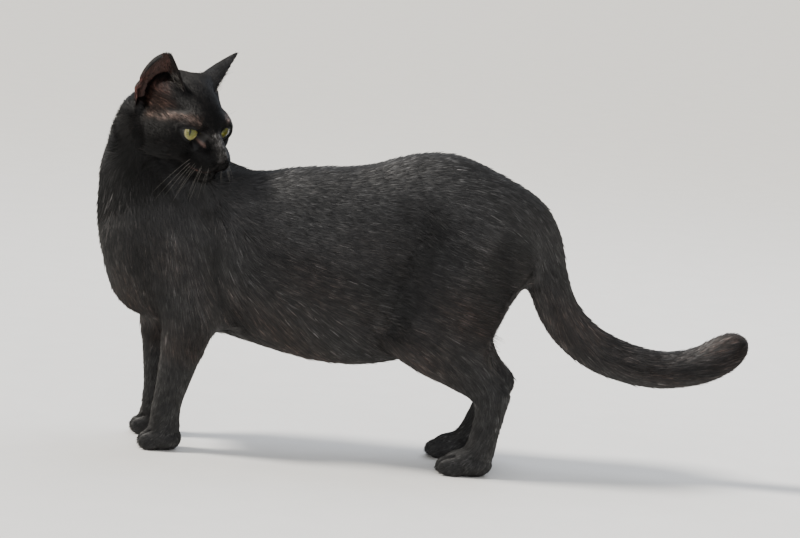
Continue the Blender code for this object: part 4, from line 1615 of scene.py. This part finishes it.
        # Painted shade and light: darker in the body's hollows and at the chest front, lighter on its ridges;
        # the rest of the spread is the tufts' random tone.
        relief = sum(stroke.height_at(place / MM) for stroke in BODY_STROKES)
        uneven = self.own_uneven * rng.normal(0, 1, len(place)) + self.lock_uneven * self.locks(place)
        shaded = uneven + self.painted_relief_shade * np.clip(relief, -8, 4) - self.painted_chest_shade * chest
        glow = np.exp(shaded - 0.1)[:, None]
        return (hair + 1.15 * extra) * glow

    def locks(self, place: np.ndarray) -> np.ndarray:
        """Gives neighbouring tufts a shared unevenness, so that the coat lies in small locks.

        Args:
            place: The roots.

        Returns:
            A number for each, about 0 on average.
        """
        cell = np.floor(place / self.lock) @ np.array((127.1, 311.7, 74.7))
        share = np.modf(np.abs(np.sin(cell) * 43758.5453))[0]
        return 3.4 * (share - 0.5)

    def charts(self, place: np.ndarray) -> np.ndarray:
        """Unwraps the skin round each node and gives each root its place on that map.

        Args:
            place: The roots.

        Returns:
            Two numbers from 0 to 1 for each root.
        """
        names = sorted(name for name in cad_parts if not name.startswith("eye"))
        owner = np.array([names.index(name) for name in self.skin.nodes_at(place)])
        chart = np.zeros((len(place), 2))
        across = math.ceil(math.sqrt(len(names)))
        for index in range(len(names)):
            here = np.flatnonzero(owner == index)
            if not len(here):
                continue
            local = place[here] - place[here].mean(axis=0)
            turned = local @ np.linalg.svd(local.T @ local)[0]
            angle = np.arctan2(turned[:, 1], turned[:, 2]) / (2 * math.pi) + 0.5
            reach = np.ptp(turned[:, 0]) or 1.0
            up = (turned[:, 0] - turned[:, 0].min()) / reach
            cell = np.array((index % across, index // across), float)
            chart[here] = (cell + 0.03 + 0.94 * np.stack([angle, up], axis=1)) / across
        return chart

    def tufts(self, roots: Roots, chosen: np.ndarray, name: str) -> bpy.types.Object:
        """Builds the tufts of some roots as one mesh of closed three-sided spikes.

        Args:
            roots: All roots.
            chosen: The numbers of those to build.
            name: The piece's name.

        Returns:
            The piece.
        """
        root, up, lie = roots.places[chosen], roots.normals[chosen], roots.lie[chosen]
        long, wide, rise = roots.length[chosen], roots.width[chosen], roots.rise[chosen]
        beside = np.cross(up, lie)
        tip = self.over_skin(root + lie * long[:, None], up, rise)
        base = root - up * (self.sunk * wide)[:, None] - lie * (self.set_back * long)[:, None]
        half = (0.5 * wide)[:, None]
        # The roof of the spike stands over the straight line to the tip, so that long tufts arch.
        roof = (self.crest_width * wide + self.crest_rise * rise)[:, None]
        crest = root + (tip - root) * self.crest + up * roof
        points = np.stack([base - beside * half, base + beside * half, crest, tip], axis=1)
        points[:, :, 2] = np.maximum(points[:, :, 2], LEAST_HEIGHT)
        faces = np.array(((0, 1, 2), (0, 3, 1), (1, 3, 2), (0, 2, 3)))
        start = np.arange(len(chosen))[:, None, None] * 4
        mesh = mesh_from(name, points.reshape(-1, 3), (faces[None, :, ::-1] + start).reshape(-1, 3))
        self.mark(mesh, roots, chosen)
        self.soften(mesh, up)
        return new_piece(name, mesh)

    def over_skin(self, guess: np.ndarray, up: np.ndarray, rise: np.ndarray) -> np.ndarray:
        """Lays tips at their height over the skin nearest to them.

        Args:
            guess: Where the tips would be on flat skin.
            up: The normals at the roots.
            rise: The heights.

        Returns:
            The tips.
        """
        found = [self.skin.tree.find_nearest(Vector(point)) for point in guess]
        surface = np.array([hit[0] for hit in found])
        normal = np.array([hit[1] for hit in found])
        facing = (normal * up).sum(axis=1) > 0.2
        normal[~facing] = up[~facing]
        surface[~facing] = guess[~facing]
        return surface + unit(normal + 0.5 * up) * rise[:, None]

    def mark(self, mesh: bpy.types.Mesh, roots: Roots, chosen: np.ndarray) -> None:
        """Stores each tuft's colour, with painted shade darkening it towards its root, and its patch of the
        colour map.

        Args:
            mesh: The tufts' mesh.
            roots: All roots.
            chosen: The numbers of those in the mesh.
        """
        shade = np.array(self.shading)[None, :, None]
        colour = np.clip(roots.colour[chosen][:, None, :] * shade, 0, 1)
        rows = np.concatenate([colour, np.ones((*colour.shape[:2], 1))], axis=2)
        layer = mesh.color_attributes.new("hair", "FLOAT_COLOR", "POINT")
        layer.data.foreach_set("color", rows.astype(np.float32).ravel())
        spots = np.array(((0, 0), (1, 0), (0.5, 0.35), (0.5, 1)))
        corner = roots.chart[chosen][:, None, :] + (spots - 0.5)[None] * self.patch
        layer = mesh.uv_layers.new(name="OFBake")
        order = np.empty(len(mesh.loops), np.int32)
        mesh.loops.foreach_get("vertex_index", order)
        layer.data.foreach_set("uv", corner.reshape(-1, 2)[order].astype(np.float32).ravel())

    def soften(self, mesh: bpy.types.Mesh, up: np.ndarray) -> None:
        """Turns the tufts' shading towards the skin's, as light soaks into close fur.

        Args:
            mesh: The tufts' mesh.
            up: The skin's normal at each root.
        """
        skin_normal = np.repeat(up, 4, axis=0)
        own, skin = self.normal_mix
        turned = unit(own * vertex_normals(mesh) + skin * skin_normal)
        mesh.normals_split_custom_set_from_vertices(turned.astype(np.float32))

    def build(
        self, finish: bpy.types.Material, own: dict[Region, bpy.types.Material]
    ) -> list[bpy.types.Object]:
        """Grows the whole coat in pieces and dresses them.

        Args:
            finish: The finish of most of the body.
            own: The regions that have a finish of their own.

        Returns:
            The pieces.
        """
        mesh = self.skin.piece.data
        self.skin.tree = BVHTree.FromPolygons(
            [Vector(point) for point in positions(mesh)], triangles_of(mesh).tolist()
        )
        roots = self.sampled()
        order = list(Region)
        made = []
        for name, regions in self.coats:
            numbers = [order.index(region) for region in regions]
            dress = next((own[region] for region in regions if region in own), finish)
            chosen = np.flatnonzero(np.isin(roots.region, numbers))
            parts = 1 + len(chosen) // self.most_in_piece
            by_place = chosen[np.argsort(roots.places[chosen, 0], kind="stable")]
            for part, share in enumerate(np.array_split(by_place, parts)):
                label = name if parts == 1 else f"{name}_{part + 1}"
                piece = self.tufts(roots, share, label)
                piece.data.materials.append(dress)
                made.append(piece)
                log.info("%s: %d tufts", label, len(share))
        return made


# --- Finishes -----------------------------------------------------------------------------------


class Finish:
    """A material under construction: its tree of nodes and its one shader."""

    def __init__(self, name: str, **sockets: object) -> None:
        """Starts a material of that name, with constants on its shader's sockets.

        Args:
            name: The material's name.
            sockets: Values by socket, in lower case with underscores.
        """
        self.material = bpy.data.materials.new(name)
        self.material.use_nodes = True
        self.tree = self.material.node_tree
        self.shader = next(node for node in self.tree.nodes if node.type == "BSDF_PRINCIPLED")
        for socket, value in sockets.items():
            label = socket.replace("_", " ").title().replace("Ior", "IOR")
            self.shader.inputs[label].default_value = value

    def add(self, kind: str, settings: dict | None = None, **inputs: object) -> bpy.types.Node:
        """Adds a node with its settings, constants and links.

        Args:
            kind: The node's type, without its ShaderNode prefix.
            settings: The node's own properties.
            inputs: Values or output sockets for inputs, by name, or by number after an underscore.

        Returns:
            The node.
        """
        made = self.tree.nodes.new("ShaderNode" + kind)
        for name, value in (settings or {}).items():
            setattr(made, name, value)
        for name, value in inputs.items():
            number = name.lstrip("_")
            socket = made.inputs[int(number) if number.isdigit() else name.replace("_", " ")]
            if isinstance(value, bpy.types.NodeSocket):
                self.tree.links.new(value, socket)
            else:
                socket.default_value = value
        return made

    def ramp(
        self, factor: bpy.types.NodeSocket, stops: tuple[tuple[float, str], ...]
    ) -> bpy.types.NodeSocket:
        """Turns a number into a colour.

        Args:
            factor: The number's socket.
            stops: Places from 0 to 1, each with its sRGB code.

        Returns:
            The colour's socket.
        """
        made = self.add("ValToRGB", _0=factor)
        elements = made.color_ramp.elements
        while len(elements) < len(stops):
            elements.new(0.5)
        for element, (place, code) in zip(elements, stops):
            element.position = place
            element.color = (*rgb(code), 1)
        return made.outputs["Color"]

    def number(self, operation: str, *values: float | bpy.types.NodeSocket) -> bpy.types.NodeSocket:
        """Adds a sum of one operation, and gives its result's socket."""
        inputs = {f"_{place}": value for place, value in enumerate(values)}
        return self.add("Math", {"operation": operation}, **inputs).outputs[0]

    def mottled(
        self,
        colour: bpy.types.NodeSocket,
        place: bpy.types.NodeSocket,
        scale: float,
        detail: float,
        dark: str,
    ) -> None:
        """Gives the shader a colour that darkens in soft patches.

        Args:
            colour: The colour's socket.
            place: The socket of the place on the piece.
            scale: How many patches there are to a metre.
            detail: How rough their edges are.
            dark: What the colour is multiplied by in the darkest patches.
        """
        noise = self.add("TexNoise", Vector=place, Scale=scale, Detail=detail)
        shade = self.ramp(noise.outputs["Fac"], ((0.3, dark), (0.7, "#ffffff")))
        settings = {"data_type": "RGBA", "blend_type": "MULTIPLY"}
        mixed = self.add("Mix", settings, _0=1.0, _6=colour, _7=shade)
        self.link(mixed.outputs[2], "Base Color")

    def link(self, output: bpy.types.NodeSocket, socket: str) -> None:
        """Joins an output to one of the shader's sockets."""
        self.tree.links.new(output, self.shader.inputs[socket])


@dataclass(frozen=True)
class BlackCoat:
    """Short guard hairs of a black cat: smooth, oily and close, browned by the sun in places.

    The hair's smooth cuticle gives long soft highlights that turn grey-blue along the back.
    """

    name: str = "black_cat_hair_short_glossy"
    roughness: float = 0.58
    specular: float = 0.46
    sheen: float = 0.05
    clump_mm: float = 9.0

    def build(self) -> bpy.types.Material:
        """Makes the coat's material.

        Returns:
            The material.
        """
        finish = Finish(self.name, roughness=self.roughness, ior=1.55)
        finish.shader.inputs["Specular IOR Level"].default_value = self.specular
        finish.shader.inputs["Sheen Weight"].default_value = self.sheen
        finish.shader.inputs["Sheen Roughness"].default_value = 0.4
        finish.shader.inputs["Sheen Tint"].default_value = (*rgb("#b9b4ae"), 1)
        hair = finish.add("Attribute", {"attribute_name": "hair"}).outputs["Color"]
        place = finish.add("TexCoord").outputs["Object"]
        finish.mottled(hair, place, 1 / (self.clump_mm * MM), 3.0, "#b4b4b4")
        return finish.material


@dataclass(frozen=True)
class Hide:
    """The cat's skin with its undercoat: matt and dark, bare in the ears, on the nose and on the pads.

    The fine nap breaks up the light, so that gaps between tufts read as dense undercoat.
    """

    nap_mm: float = 0.7
    mottles: float = 90.0  # to a metre

    def build(self) -> bpy.types.Material:
        """Makes the skin's material.

        Returns:
            The material.
        """
        finish = Finish("cat_hide_with_undercoat", roughness=0.55, ior=1.4)
        colour = finish.add("Attribute", {"attribute_name": "hide"}).outputs["Color"]
        place = finish.add("TexCoord").outputs["Object"]
        nap = finish.add("TexNoise", Vector=place, Scale=1 / (self.nap_mm * MM), Detail=3.0)
        finish.mottled(colour, place, self.mottles, 2.0, "#c8c8c8")
        bump = finish.add("Bump", Strength=0.5, Distance=0.0004, Height=nap.outputs["Fac"])
        finish.link(bump.outputs["Normal"], "Normal")
        return finish.material


@dataclass(frozen=True)
class PaintedIris:
    """An eyeball of glass painted behind the cornea: a fibrous yellow-green iris round a slit pupil.

    The paint is matt so that only the cornea shines, and one side of the iris is painted paler, as painted
    light. Lengths are millimetres in the iris's plane.
    """

    pupil_half_width: float = 1.0
    pupil_half_height: float = 4.2
    iris_radius: float = 8.4

    def build(self) -> bpy.types.Material:
        """Makes the painted ball's material.

        Returns:
            The material.
        """
        finish = Finish("glass_eye_painted_iris", roughness=0.4, ior=1.45)
        spot = finish.add("Attribute", {"attribute_name": "iris_mm"}).outputs["Vector"]
        split = finish.add("SeparateXYZ", _0=spot)
        radius = finish.add("VectorMath", {"operation": "LENGTH"}, _0=spot).outputs["Value"]
        share = finish.number("DIVIDE", radius, self.iris_radius)
        around = finish.add("VectorMath", {"operation": "NORMALIZE"}, _0=spot).outputs["Vector"]
        outward = finish.add("CombineXYZ", Z=share).outputs[0]
        # Fibres run out from the pupil, because the grain is nine times finer round it than outward.
        stretched = finish.add(
            "VectorMath", {"operation": "MULTIPLY_ADD"}, _0=around, _1=(9, 9, 9), _2=outward
        )
        fibres = finish.add("TexNoise", Vector=stretched.outputs[0], Scale=2.2, Detail=4.0)
        uneven = finish.number("MULTIPLY_ADD", fibres.outputs["Fac"], 0.3, -0.15)
        # Painted light: the iris is paler towards one corner of the eye, as if lit there, and a little
        # greener towards the other.
        aside = finish.number("MULTIPLY_ADD", split.outputs["X"], 0.035, share)
        place = finish.number("ADD", aside, uneven)
        # The pale ring near the edge is painted light, strongest on the side that the shift above favours.
        iris = finish.ramp(
            place,
            (
                (0.10, "#4f5518"),
                (0.40, "#6c6f26"),
                (0.62, "#8d8841"),
                (0.84, "#b3ac74"),
                (0.96, "#4a442c"),
                (1.0, "#0b0a08"),
            ),
        )
        height = finish.number("DIVIDE", split.outputs["Y"], self.pupil_half_height)
        squared = finish.number("MULTIPLY", height, height)
        narrow = finish.number("SUBTRACT", 1.0, squared)
        wide = finish.number("MULTIPLY", narrow, self.pupil_half_width)
        across = finish.number("ABSOLUTE", split.outputs["X"])
        inside = finish.number("SUBTRACT", wide, across)
        soft = finish.add("MapRange", Value=inside, From_Min=-0.12, From_Max=0.12)
        mixed = finish.add("Mix", {"data_type": "RGBA"}, _0=soft.outputs[0], _6=iris, _7=(*rgb("#020202"), 1))
        finish.link(mixed.outputs[2], "Base Color")
        return finish.material


@dataclass(frozen=True)
class Plain:
    """A finish whose colour varies a little with fine grain. Its shine is the same all over."""

    name: str
    dark: str
    light: str
    roughness: float
    ior: float = 1.45
    grain_mm: float = 1.0
    transmission: float = 0.0

    def build(self) -> bpy.types.Material:
        """Makes the material.

        Returns:
            The material.
        """
        finish = Finish(self.name, roughness=self.roughness, ior=self.ior)
        finish.shader.inputs["Transmission Weight"].default_value = self.transmission
        place = finish.add("TexCoord").outputs["Object"]
        grain = finish.add("TexNoise", Vector=place, Scale=1 / (self.grain_mm * MM), Detail=2.0)
        finish.link(finish.ramp(grain.outputs["Fac"], ((0.35, self.dark), (0.65, self.light))), "Base Color")
        return finish.material


# The face's hair is finer and stands closer, so that light sinks in and it shines less; its much deeper black
# is painted shade in the tufts' colour.
FACE_COAT = BlackCoat("black_cat_hair_face_fine", roughness=0.5, specular=0.15, sheen=0.0)
# The neck's hair turns round the bend in many directions, so that its shine is broken up and duller.
NECK_COAT = BlackCoat("black_cat_hair_neck_fine", roughness=0.55, specular=0.24, sheen=0.0)
# Clear moist cornea: one sharp highlight over the iris.
CORNEA = Plain("cornea_clear_moist", "#ffffff", "#fdfdfb", 0.03, ior=1.2, transmission=1.0)
# Whisker: a stiff smooth hair, a shade paler than the coat and uneven along its length.
WHISKER = Plain("whisker_stiff_pale_hair", "#3f3c39", "#6a655f", 0.45, ior=1.55, grain_mm=6.0)
# Claw: smooth brown horn, uneven in tone, with a soft shine.
CLAW = Plain("claw_smooth_horn", "#2f2824", "#675b50", 0.3, ior=1.54, grain_mm=2.0)
# Studio floor: matt painted board, even and pale.
FLOOR = Plain("studio_floor_matt_paint", "#e2e1de", "#e4e3e0", 0.85, grain_mm=40.0)


# --- Eyes, whiskers and claws -------------------------------------------------------------------


@dataclass
class Eye:
    """An eyeball with a recessed iris, under its own clear cornea. Millimetres and degrees."""

    side: int
    head: HeadFrame
    aside_deg: float
    above_deg: float = 14.0
    ball: float = 10.15
    limbus_deg: float = 57.0
    recess: float = 0.9
    cornea_rise: float = 0.75
    cornea_thickness: float = 0.3
    around: int = 72

    def axes(self) -> np.ndarray:
        """Gives the gaze and the iris's level and upright directions as columns in the world.

        Returns:
            The three columns.
        """
        aside, above = math.radians(self.aside_deg), math.radians(self.above_deg)
        gaze = np.array(
            (math.cos(aside) * math.cos(above), math.sin(aside) * math.cos(above), math.sin(above))
        )
        level = unit(np.cross((0.0, 0.0, 1.0), gaze))
        return self.head.turned(np.stack([gaze, level, np.cross(gaze, level)]))

    def turned_profile(self, name: str, profile: np.ndarray) -> tuple[bpy.types.Mesh, np.ndarray]:
        """Turns a profile of depths and radii about the gaze.

        Args:
            name: The mesh's name.
            profile: Rows of depth along the gaze and radius about it. Both ends lie on the axis.

        Returns:
            The closed mesh, and each vertex's place across the gaze.
        """
        turn = np.linspace(0, 2 * math.pi, self.around, endpoint=False)
        rings = profile[1:-1]
        depth = np.repeat(rings[:, 0], self.around)
        across = (rings[:, 1][:, None] * np.cos(turn)).ravel()
        upright = (rings[:, 1][:, None] * np.sin(turn)).ravel()
        depth = np.concatenate([depth, profile[[0, -1], 0]])
        across = np.concatenate([across, (0, 0)])
        upright = np.concatenate([upright, (0, 0)])
        local = np.stack([depth, across, upright], axis=1)
        points = self.head.eyes[self.side] + local * MM @ self.axes()
        faces = ring_triangles(len(rings), self.around)
        here = np.arange(self.around)
        beside = (here + 1) % self.around
        last = (len(rings) - 1) * self.around
        front = np.full(self.around, len(rings) * self.around)
        caps = [np.stack([front, beside, here], 1), np.stack([front + 1, last + here, last + beside], 1)]
        mesh = mesh_from(name, points, np.concatenate([faces, *caps]))
        with edited(mesh) as whole:
            bmesh.ops.recalc_face_normals(whole, faces=whole.faces[:])
        return mesh, local[:, 1:]

    def globe(self, name: str, finish: bpy.types.Material) -> bpy.types.Object:
        """Builds the ball with its iris sunk behind the edge of the cornea.

        Args:
            name: The piece's name.
            finish: Its material.

        Returns:
            The piece.
        """
        limbus = math.radians(self.limbus_deg)
        edge = self.ball * math.sin(limbus)
        plane = self.ball * math.cos(limbus)
        radii = np.linspace(0, edge - 0.35, 14)
        iris = [(plane - self.recess + 0.5 * (1 - (radius / edge) ** 2), radius) for radius in radii]
        rim = [(plane - 0.35, edge - 0.08), (plane + 0.02, edge)]
        angles = np.linspace(limbus + 0.06, math.pi, 26)
        back = [(self.ball * math.cos(a), self.ball * math.sin(a)) for a in angles[:-1]]
        profile = np.array([*iris, *rim, *back, (-self.ball, 0.0)])
        mesh, across = self.turned_profile(name, profile)
        layer = mesh.attributes.new("iris_mm", "FLOAT_VECTOR", "POINT")
        rows = np.concatenate([across, np.zeros((len(across), 1))], axis=1)
        depth = (positions(mesh) - self.head.eyes[self.side]) @ self.axes()[0] / MM
        radius = np.linalg.norm(across, axis=1)
        outer = np.where(depth < plane - self.recess - 0.1, 2 * edge - radius, radius)
        rows *= np.where(radius > 0.01, outer / np.maximum(radius, 0.01), 1)[:, None]
        layer.data.foreach_set("vector", rows.astype(np.float32).ravel())
        return new_piece(name, mesh, finish)

    def cornea(self, name: str, finish: bpy.types.Material) -> bpy.types.Object:
        """Builds the clear dome, a thin closed lens over the iris.

        Args:
            name: The piece's name.
            finish: Its material.

        Returns:
            The piece.
        """
        limbus = math.radians(self.limbus_deg)
        shares = np.linspace(0, 1, 16)
        outer = [
            (
                (self.ball + self.cornea_rise * (1 - share**2) + 0.02) * math.cos(share * limbus),
                (self.ball + self.cornea_rise * (1 - share**2) + 0.02) * math.sin(share * limbus),
            )
            for share in shares
        ]
        inner = [(depth - self.cornea_thickness, radius * 0.985) for depth, radius in outer[::-1]]
        mesh, _ = self.turned_profile(name, np.array([*outer, *inner]))
        return new_piece(name, mesh, finish)


def tube(line: np.ndarray, radii: np.ndarray, sides: int) -> tuple[np.ndarray, np.ndarray]:
    """Sweeps a round section along a line and closes both ends.

    Args:
        line: Points of the line.
        radii: The radius at each point.
        sides: How many sides the section has.

    Returns:
        Points and triangles.
    """
    ahead = unit(np.gradient(line, axis=0))
    beside = unit(np.cross(ahead, np.array((0.31, 0.17, 0.93))))
    above = np.cross(ahead, beside)
    turn = np.linspace(0, 2 * math.pi, sides, endpoint=False)
    ring = np.cos(turn)[None, :, None] * beside[:, None] + np.sin(turn)[None, :, None] * above[:, None]
    points = (line[:, None] + radii[:, None, None] * ring).reshape(-1, 3)
    faces = ring_triangles(len(line), sides)
    last = (len(line) - 1) * sides
    caps = [(0, i + 1, i) for i in range(1, sides - 1)]
    caps += [(last, last + i, last + i + 1) for i in range(1, sides - 1)]
    return points, np.concatenate([faces, np.array(caps)])


def piece_of_tubes(
    name: str, tubes: list[tuple[np.ndarray, np.ndarray]], finish: bpy.types.Material
) -> bpy.types.Object:
    """Joins tubes into one piece.

    Args:
        name: The piece's name.
        tubes: The points and triangles of each.
        finish: Their material.

    Returns:
        The piece.
    """
    starts = np.cumsum([0] + [len(points) for points, _ in tubes[:-1]])
    points = np.concatenate([points for points, _ in tubes])
    faces = np.concatenate([faces + start for (_, faces), start in zip(tubes, starts)])
    return new_piece(name, mesh_from(name, points, faces), finish)


@dataclass(frozen=True)
class Hair:
    """One long hair: its root and direction in the head's axes, and its length and base in millimetres."""

    root: Place
    away: np.ndarray
    length: float
    base: float


@dataclass
class LongHairs:
    """Long single hairs: the whiskers of muzzle and brows, and the pale wisps in the ears."""

    head: HeadFrame
    skin: Skin
    sides: int = 4
    rows: int = 10
    sag: float = 0.16  # how far a hair's tip hangs, as a share of its length
    rooted: float = 0.8  # how deep in the skin it starts
    thinnest: float = 0.02
    whisker_reach: dict[int, float] = field(default_factory=lambda: {-1: 30.0, 1: 45.0})

    def whiskers(self) -> list[Hair]:
        """Lists the whiskers of the muzzle and of the brows.

        Returns:
            The hairs.
        """
        rng = np.random.default_rng(11)
        found = []
        for side in SIDES:
            for row in range(3):
                for place in range(4):
                    root = (24.0 - 3.6 * place, side * (9.0 + 2.4 * place), -15.5 - 2.8 * row)
                    ahead = 0.36 - 0.19 * place + rng.normal(0, 0.07)
                    droop = -0.72 - 0.12 * row + rng.normal(0, 0.08)
                    away = unit(np.array((ahead, side * (0.36 + 0.05 * place), droop)))
                    long = self.whisker_reach[side] * (0.55 + 0.13 * place) * rng.uniform(0.8, 1.1)
                    found.append(Hair(root, away, long, 0.11))
            for brow in range(2):
                root = (2.0 - 2.4 * brow, side * (16 + 2.4 * brow), 14.0)
                away = unit(np.array((0.1 - 0.3 * brow, side * 0.5, 0.8)))
                found.append(Hair(root, away, 15.0 * rng.uniform(0.8, 1.1), 0.07))
        return found

    def wisps(self) -> list[Hair]:
        """Lists the thin pale hairs that cross the ears' mouths from their inner edge.

        Returns:
            The hairs.
        """
        rng = np.random.default_rng(12)
        found = []
        for side in SIDES:
            shell = EarShell(side, self.head)
            for height in rng.uniform(0.02, 0.5, 46):
                inner, outer = shell.edges(height)
                root = inner + (outer - inner) * rng.uniform(0.04, 0.22) + np.array((1.0, 0, 0))
                away = unit(unit(outer - inner) * 0.75 + np.array((0.25, 0, 0.75)) + rng.normal(0, 0.16, 3))
                found.append(Hair(tuple(root), away, rng.uniform(7, 13), 0.10))
        return found

    def build(
        self, name: str, hairs: list[Hair], finish: bpy.types.Material, on_skin: bool
    ) -> bpy.types.Object:
        """Builds hairs as one piece.

        Args:
            name: The piece's name.
            hairs: The hairs.
            finish: Their material.
            on_skin: Whether each root is moved onto the skin nearest to it.

        Returns:
            The piece.
        """
        tubes = []
        share = np.linspace(0, 1, self.rows)[:, None]
        for hair in hairs:
            start = self.head.to_world(hair.root)
            if on_skin:
                hit = self.skin.tree.find_nearest(Vector(start))
                start = np.array(hit[0]) - np.array(hit[1]) * self.rooted * MM
            ahead = self.head.turned(hair.away)
            sag = np.array((0, 0, -self.sag)) * share**2
            line = start + (ahead * share + sag) * hair.length * MM
            radii = hair.base * MM * (1 - share[:, 0]) ** 0.7 + self.thinnest * MM
            tubes.append(tube(line, radii, self.sides))
        return piece_of_tubes(name, tubes, finish)


@dataclass
class Claws:
    """The tips of the claws, drawn back between the toes' hairs."""

    long: float = 3.8
    base: float = 0.95
    rows: int = 7
    sides: int = 8

    def build(self, finish: bpy.types.Material) -> bpy.types.Object:
        """Builds every claw as one piece.

        Args:
            finish: Their material.

        Returns:
            The piece.
        """
        tubes = []
        share = np.linspace(0, 1, self.rows)
        for paw in PAWS:
            for root in paw.claw_roots():
                line = root + MM * np.stack(
                    [-self.long * share + 2.0, np.zeros(self.rows), 0.8 - 3.2 * share**2], axis=1
                )
                radii = self.base * MM * (1.02 - share) ** 0.8
                points, faces = tube(line, radii, self.sides)
                points[:, 2] = np.maximum(points[:, 2], LEAST_HEIGHT)
                tubes.append((points, faces))
        return piece_of_tubes("claws", tubes, finish)


# --- Studio -------------------------------------------------------------------------------------


@dataclass
class Studio:
    """A plain pale floor, large soft lights and a camera that looks slightly down at the cat."""

    head: HeadFrame
    azimuth_deg: float = 6.0
    elevation_deg: float = 9.0
    roll_deg: float = 3.5
    distance: float = 2.8
    lens_mm: float = 140.0
    aim_from_head: Place = (0.170609, 0.070584, -0.119342)  # in metres along the world's axes
    lit_height: float = 0.18  # of the point that the lights face
    floor_half: float = 20.0

    def camera(self) -> None:
        """Sets up the camera."""
        azimuth, elevation, roll = (
            math.radians(value) for value in (self.azimuth_deg, self.elevation_deg, self.roll_deg)
        )
        back = np.array(
            (
                math.sin(azimuth) * math.cos(elevation),
                -math.cos(azimuth) * math.cos(elevation),
                math.sin(elevation),
            )
        )
        level = np.array((math.cos(azimuth), math.sin(azimuth), 0.0))
        upright = np.cross(back, level)
        right = math.cos(roll) * level + math.sin(roll) * upright
        top = math.cos(roll) * upright - math.sin(roll) * level
        target = self.head.origin + np.array(self.aim_from_head)
        lens = bpy.data.cameras.new("camera")
        lens.lens = self.lens_mm
        lens.sensor_width = 36.0
        made = bpy.data.objects.new("camera", lens)
        turn = Matrix(np.stack([right, top, back], axis=1).tolist()).to_4x4()
        made.matrix_world = Matrix.Translation(Vector(target + back * self.distance)) @ turn
        bpy.context.scene.collection.objects.link(made)
        bpy.context.scene.camera = made

    def floor(self, finish: bpy.types.Material) -> None:
        """Lays the floor at the level of the soles.

        Args:
            finish: Its material.
        """
        half = self.floor_half
        corners = np.array([(-half, -half, 0), (half, -half, 0), (half, half, 0), (-half, half, 0)])
        mesh = mesh_from("studio_floor", corners, np.array([(0, 1, 2, 3)]))
        made = new_piece("studio_floor", mesh, finish)

    def light(self, name: str, place: Place, size: float, watts: float, code: str) -> None:
        """Hangs a square soft light that faces the cat.

        Args:
            name: The light's name.
            place: Where it hangs, in metres.
            size: The length of its sides.
            watts: Its power.
            code: Its colour.
        """
        lamp = bpy.data.lights.new(name, "AREA")
        lamp.energy = watts
        lamp.size = size
        lamp.color = rgb(code)
        made = bpy.data.objects.new(name, lamp)
        aim = Vector((0, 0, self.lit_height)) - Vector(place)
        turn = aim.to_track_quat("-Z", "Y").to_matrix().to_4x4()
        made.matrix_world = Matrix.Translation(Vector(place)) @ turn
        bpy.context.scene.collection.objects.link(made)

    def sun(self, place: Place, strength: float, spread_deg: float, code: str) -> None:
        """Adds very soft daylight.

        Args:
            place: The direction that it comes from.
            strength: Its strength, in watts for each square metre.
            spread_deg: Its angle across, which softens the shadows.
            code: Its colour.
        """
        lamp = bpy.data.lights.new("soft_daylight", "SUN")
        lamp.energy = strength
        lamp.angle = math.radians(spread_deg)
        lamp.color = rgb(code)
        made = bpy.data.objects.new("soft_daylight", lamp)
        made.matrix_world = (-Vector(place)).to_track_quat("-Z", "Y").to_matrix().to_4x4()
        bpy.context.scene.collection.objects.link(made)

    def build(self, finish: bpy.types.Material) -> None:
        """Sets up the floor, lights, world and camera.

        Args:
            finish: The floor's material.
        """
        self.floor(finish)
        self.sun((-0.88, -0.12, 1.12), 5.0, 12.0, "#fffaf2")
        self.light("sky_over_back", (0.25, 0.7, 1.5), 1.4, 20.0, "#e8f0ff")
        self.light("soft_side", (0.3, -2.2, 1.0), 1.4, 21.0, "#fbfbff")
        world = bpy.data.worlds.new("studio_air")
        world.use_nodes = True
        background = world.node_tree.nodes["Background"]
        background.inputs["Color"].default_value = (*rgb("#f1f1ef"), 1)
        background.inputs["Strength"].default_value = 0.62
        bpy.context.scene.world = world
        self.camera()


def main() -> None:
    """Builds the cat, dresses it and sets up the studio."""
    logging.basicConfig(level=logging.INFO, format="%(message)s")
    head = HeadFrame()
    skin = Skin(head)
    skin.build()
    Markings(skin, head).paint()
    skin.piece.data.materials.append(Hide().build())
    flesh = sorted(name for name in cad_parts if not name.startswith("eye"))
    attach(skin.piece, "root")
    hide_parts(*flesh)
    log.info("skin: %d triangles", len(triangles_of(skin.piece.data)))
    own = {Region.HEAD: FACE_COAT.build(), Region.NECK: NECK_COAT.build()}
    for piece in Coat(skin, head).build(BlackCoat().build(), own):
        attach(piece, "root")
    painted, clear = PaintedIris().build(), CORNEA.build()
    for side, name, aside in ((-1, "left", 4.0), (1, "right", 8.0)):
        eye = Eye(side, head, aside)
        globe = eye.globe(f"eyeball_{name}", painted)
        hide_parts(f"eye_{name}")
        for piece in (globe, eye.cornea(f"cornea_{name}", clear)):
            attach(piece, "root")
        log.info("eye %s: ball and cornea", name)
    long_hairs, pale = LongHairs(head, skin), WHISKER.build()
    whiskers = long_hairs.build("whiskers", long_hairs.whiskers(), pale, on_skin=True)
    wisps = long_hairs.build("ear_wisps", long_hairs.wisps(), pale, on_skin=False)
    for piece in (whiskers, wisps, Claws().build(CLAW.build())):
        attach(piece, "root")
        log.info("%s: %d faces", piece.name, len(piece.data.polygons))
    Studio(head).build(FLOOR.build())


if __name__ == "__main__":
    main()
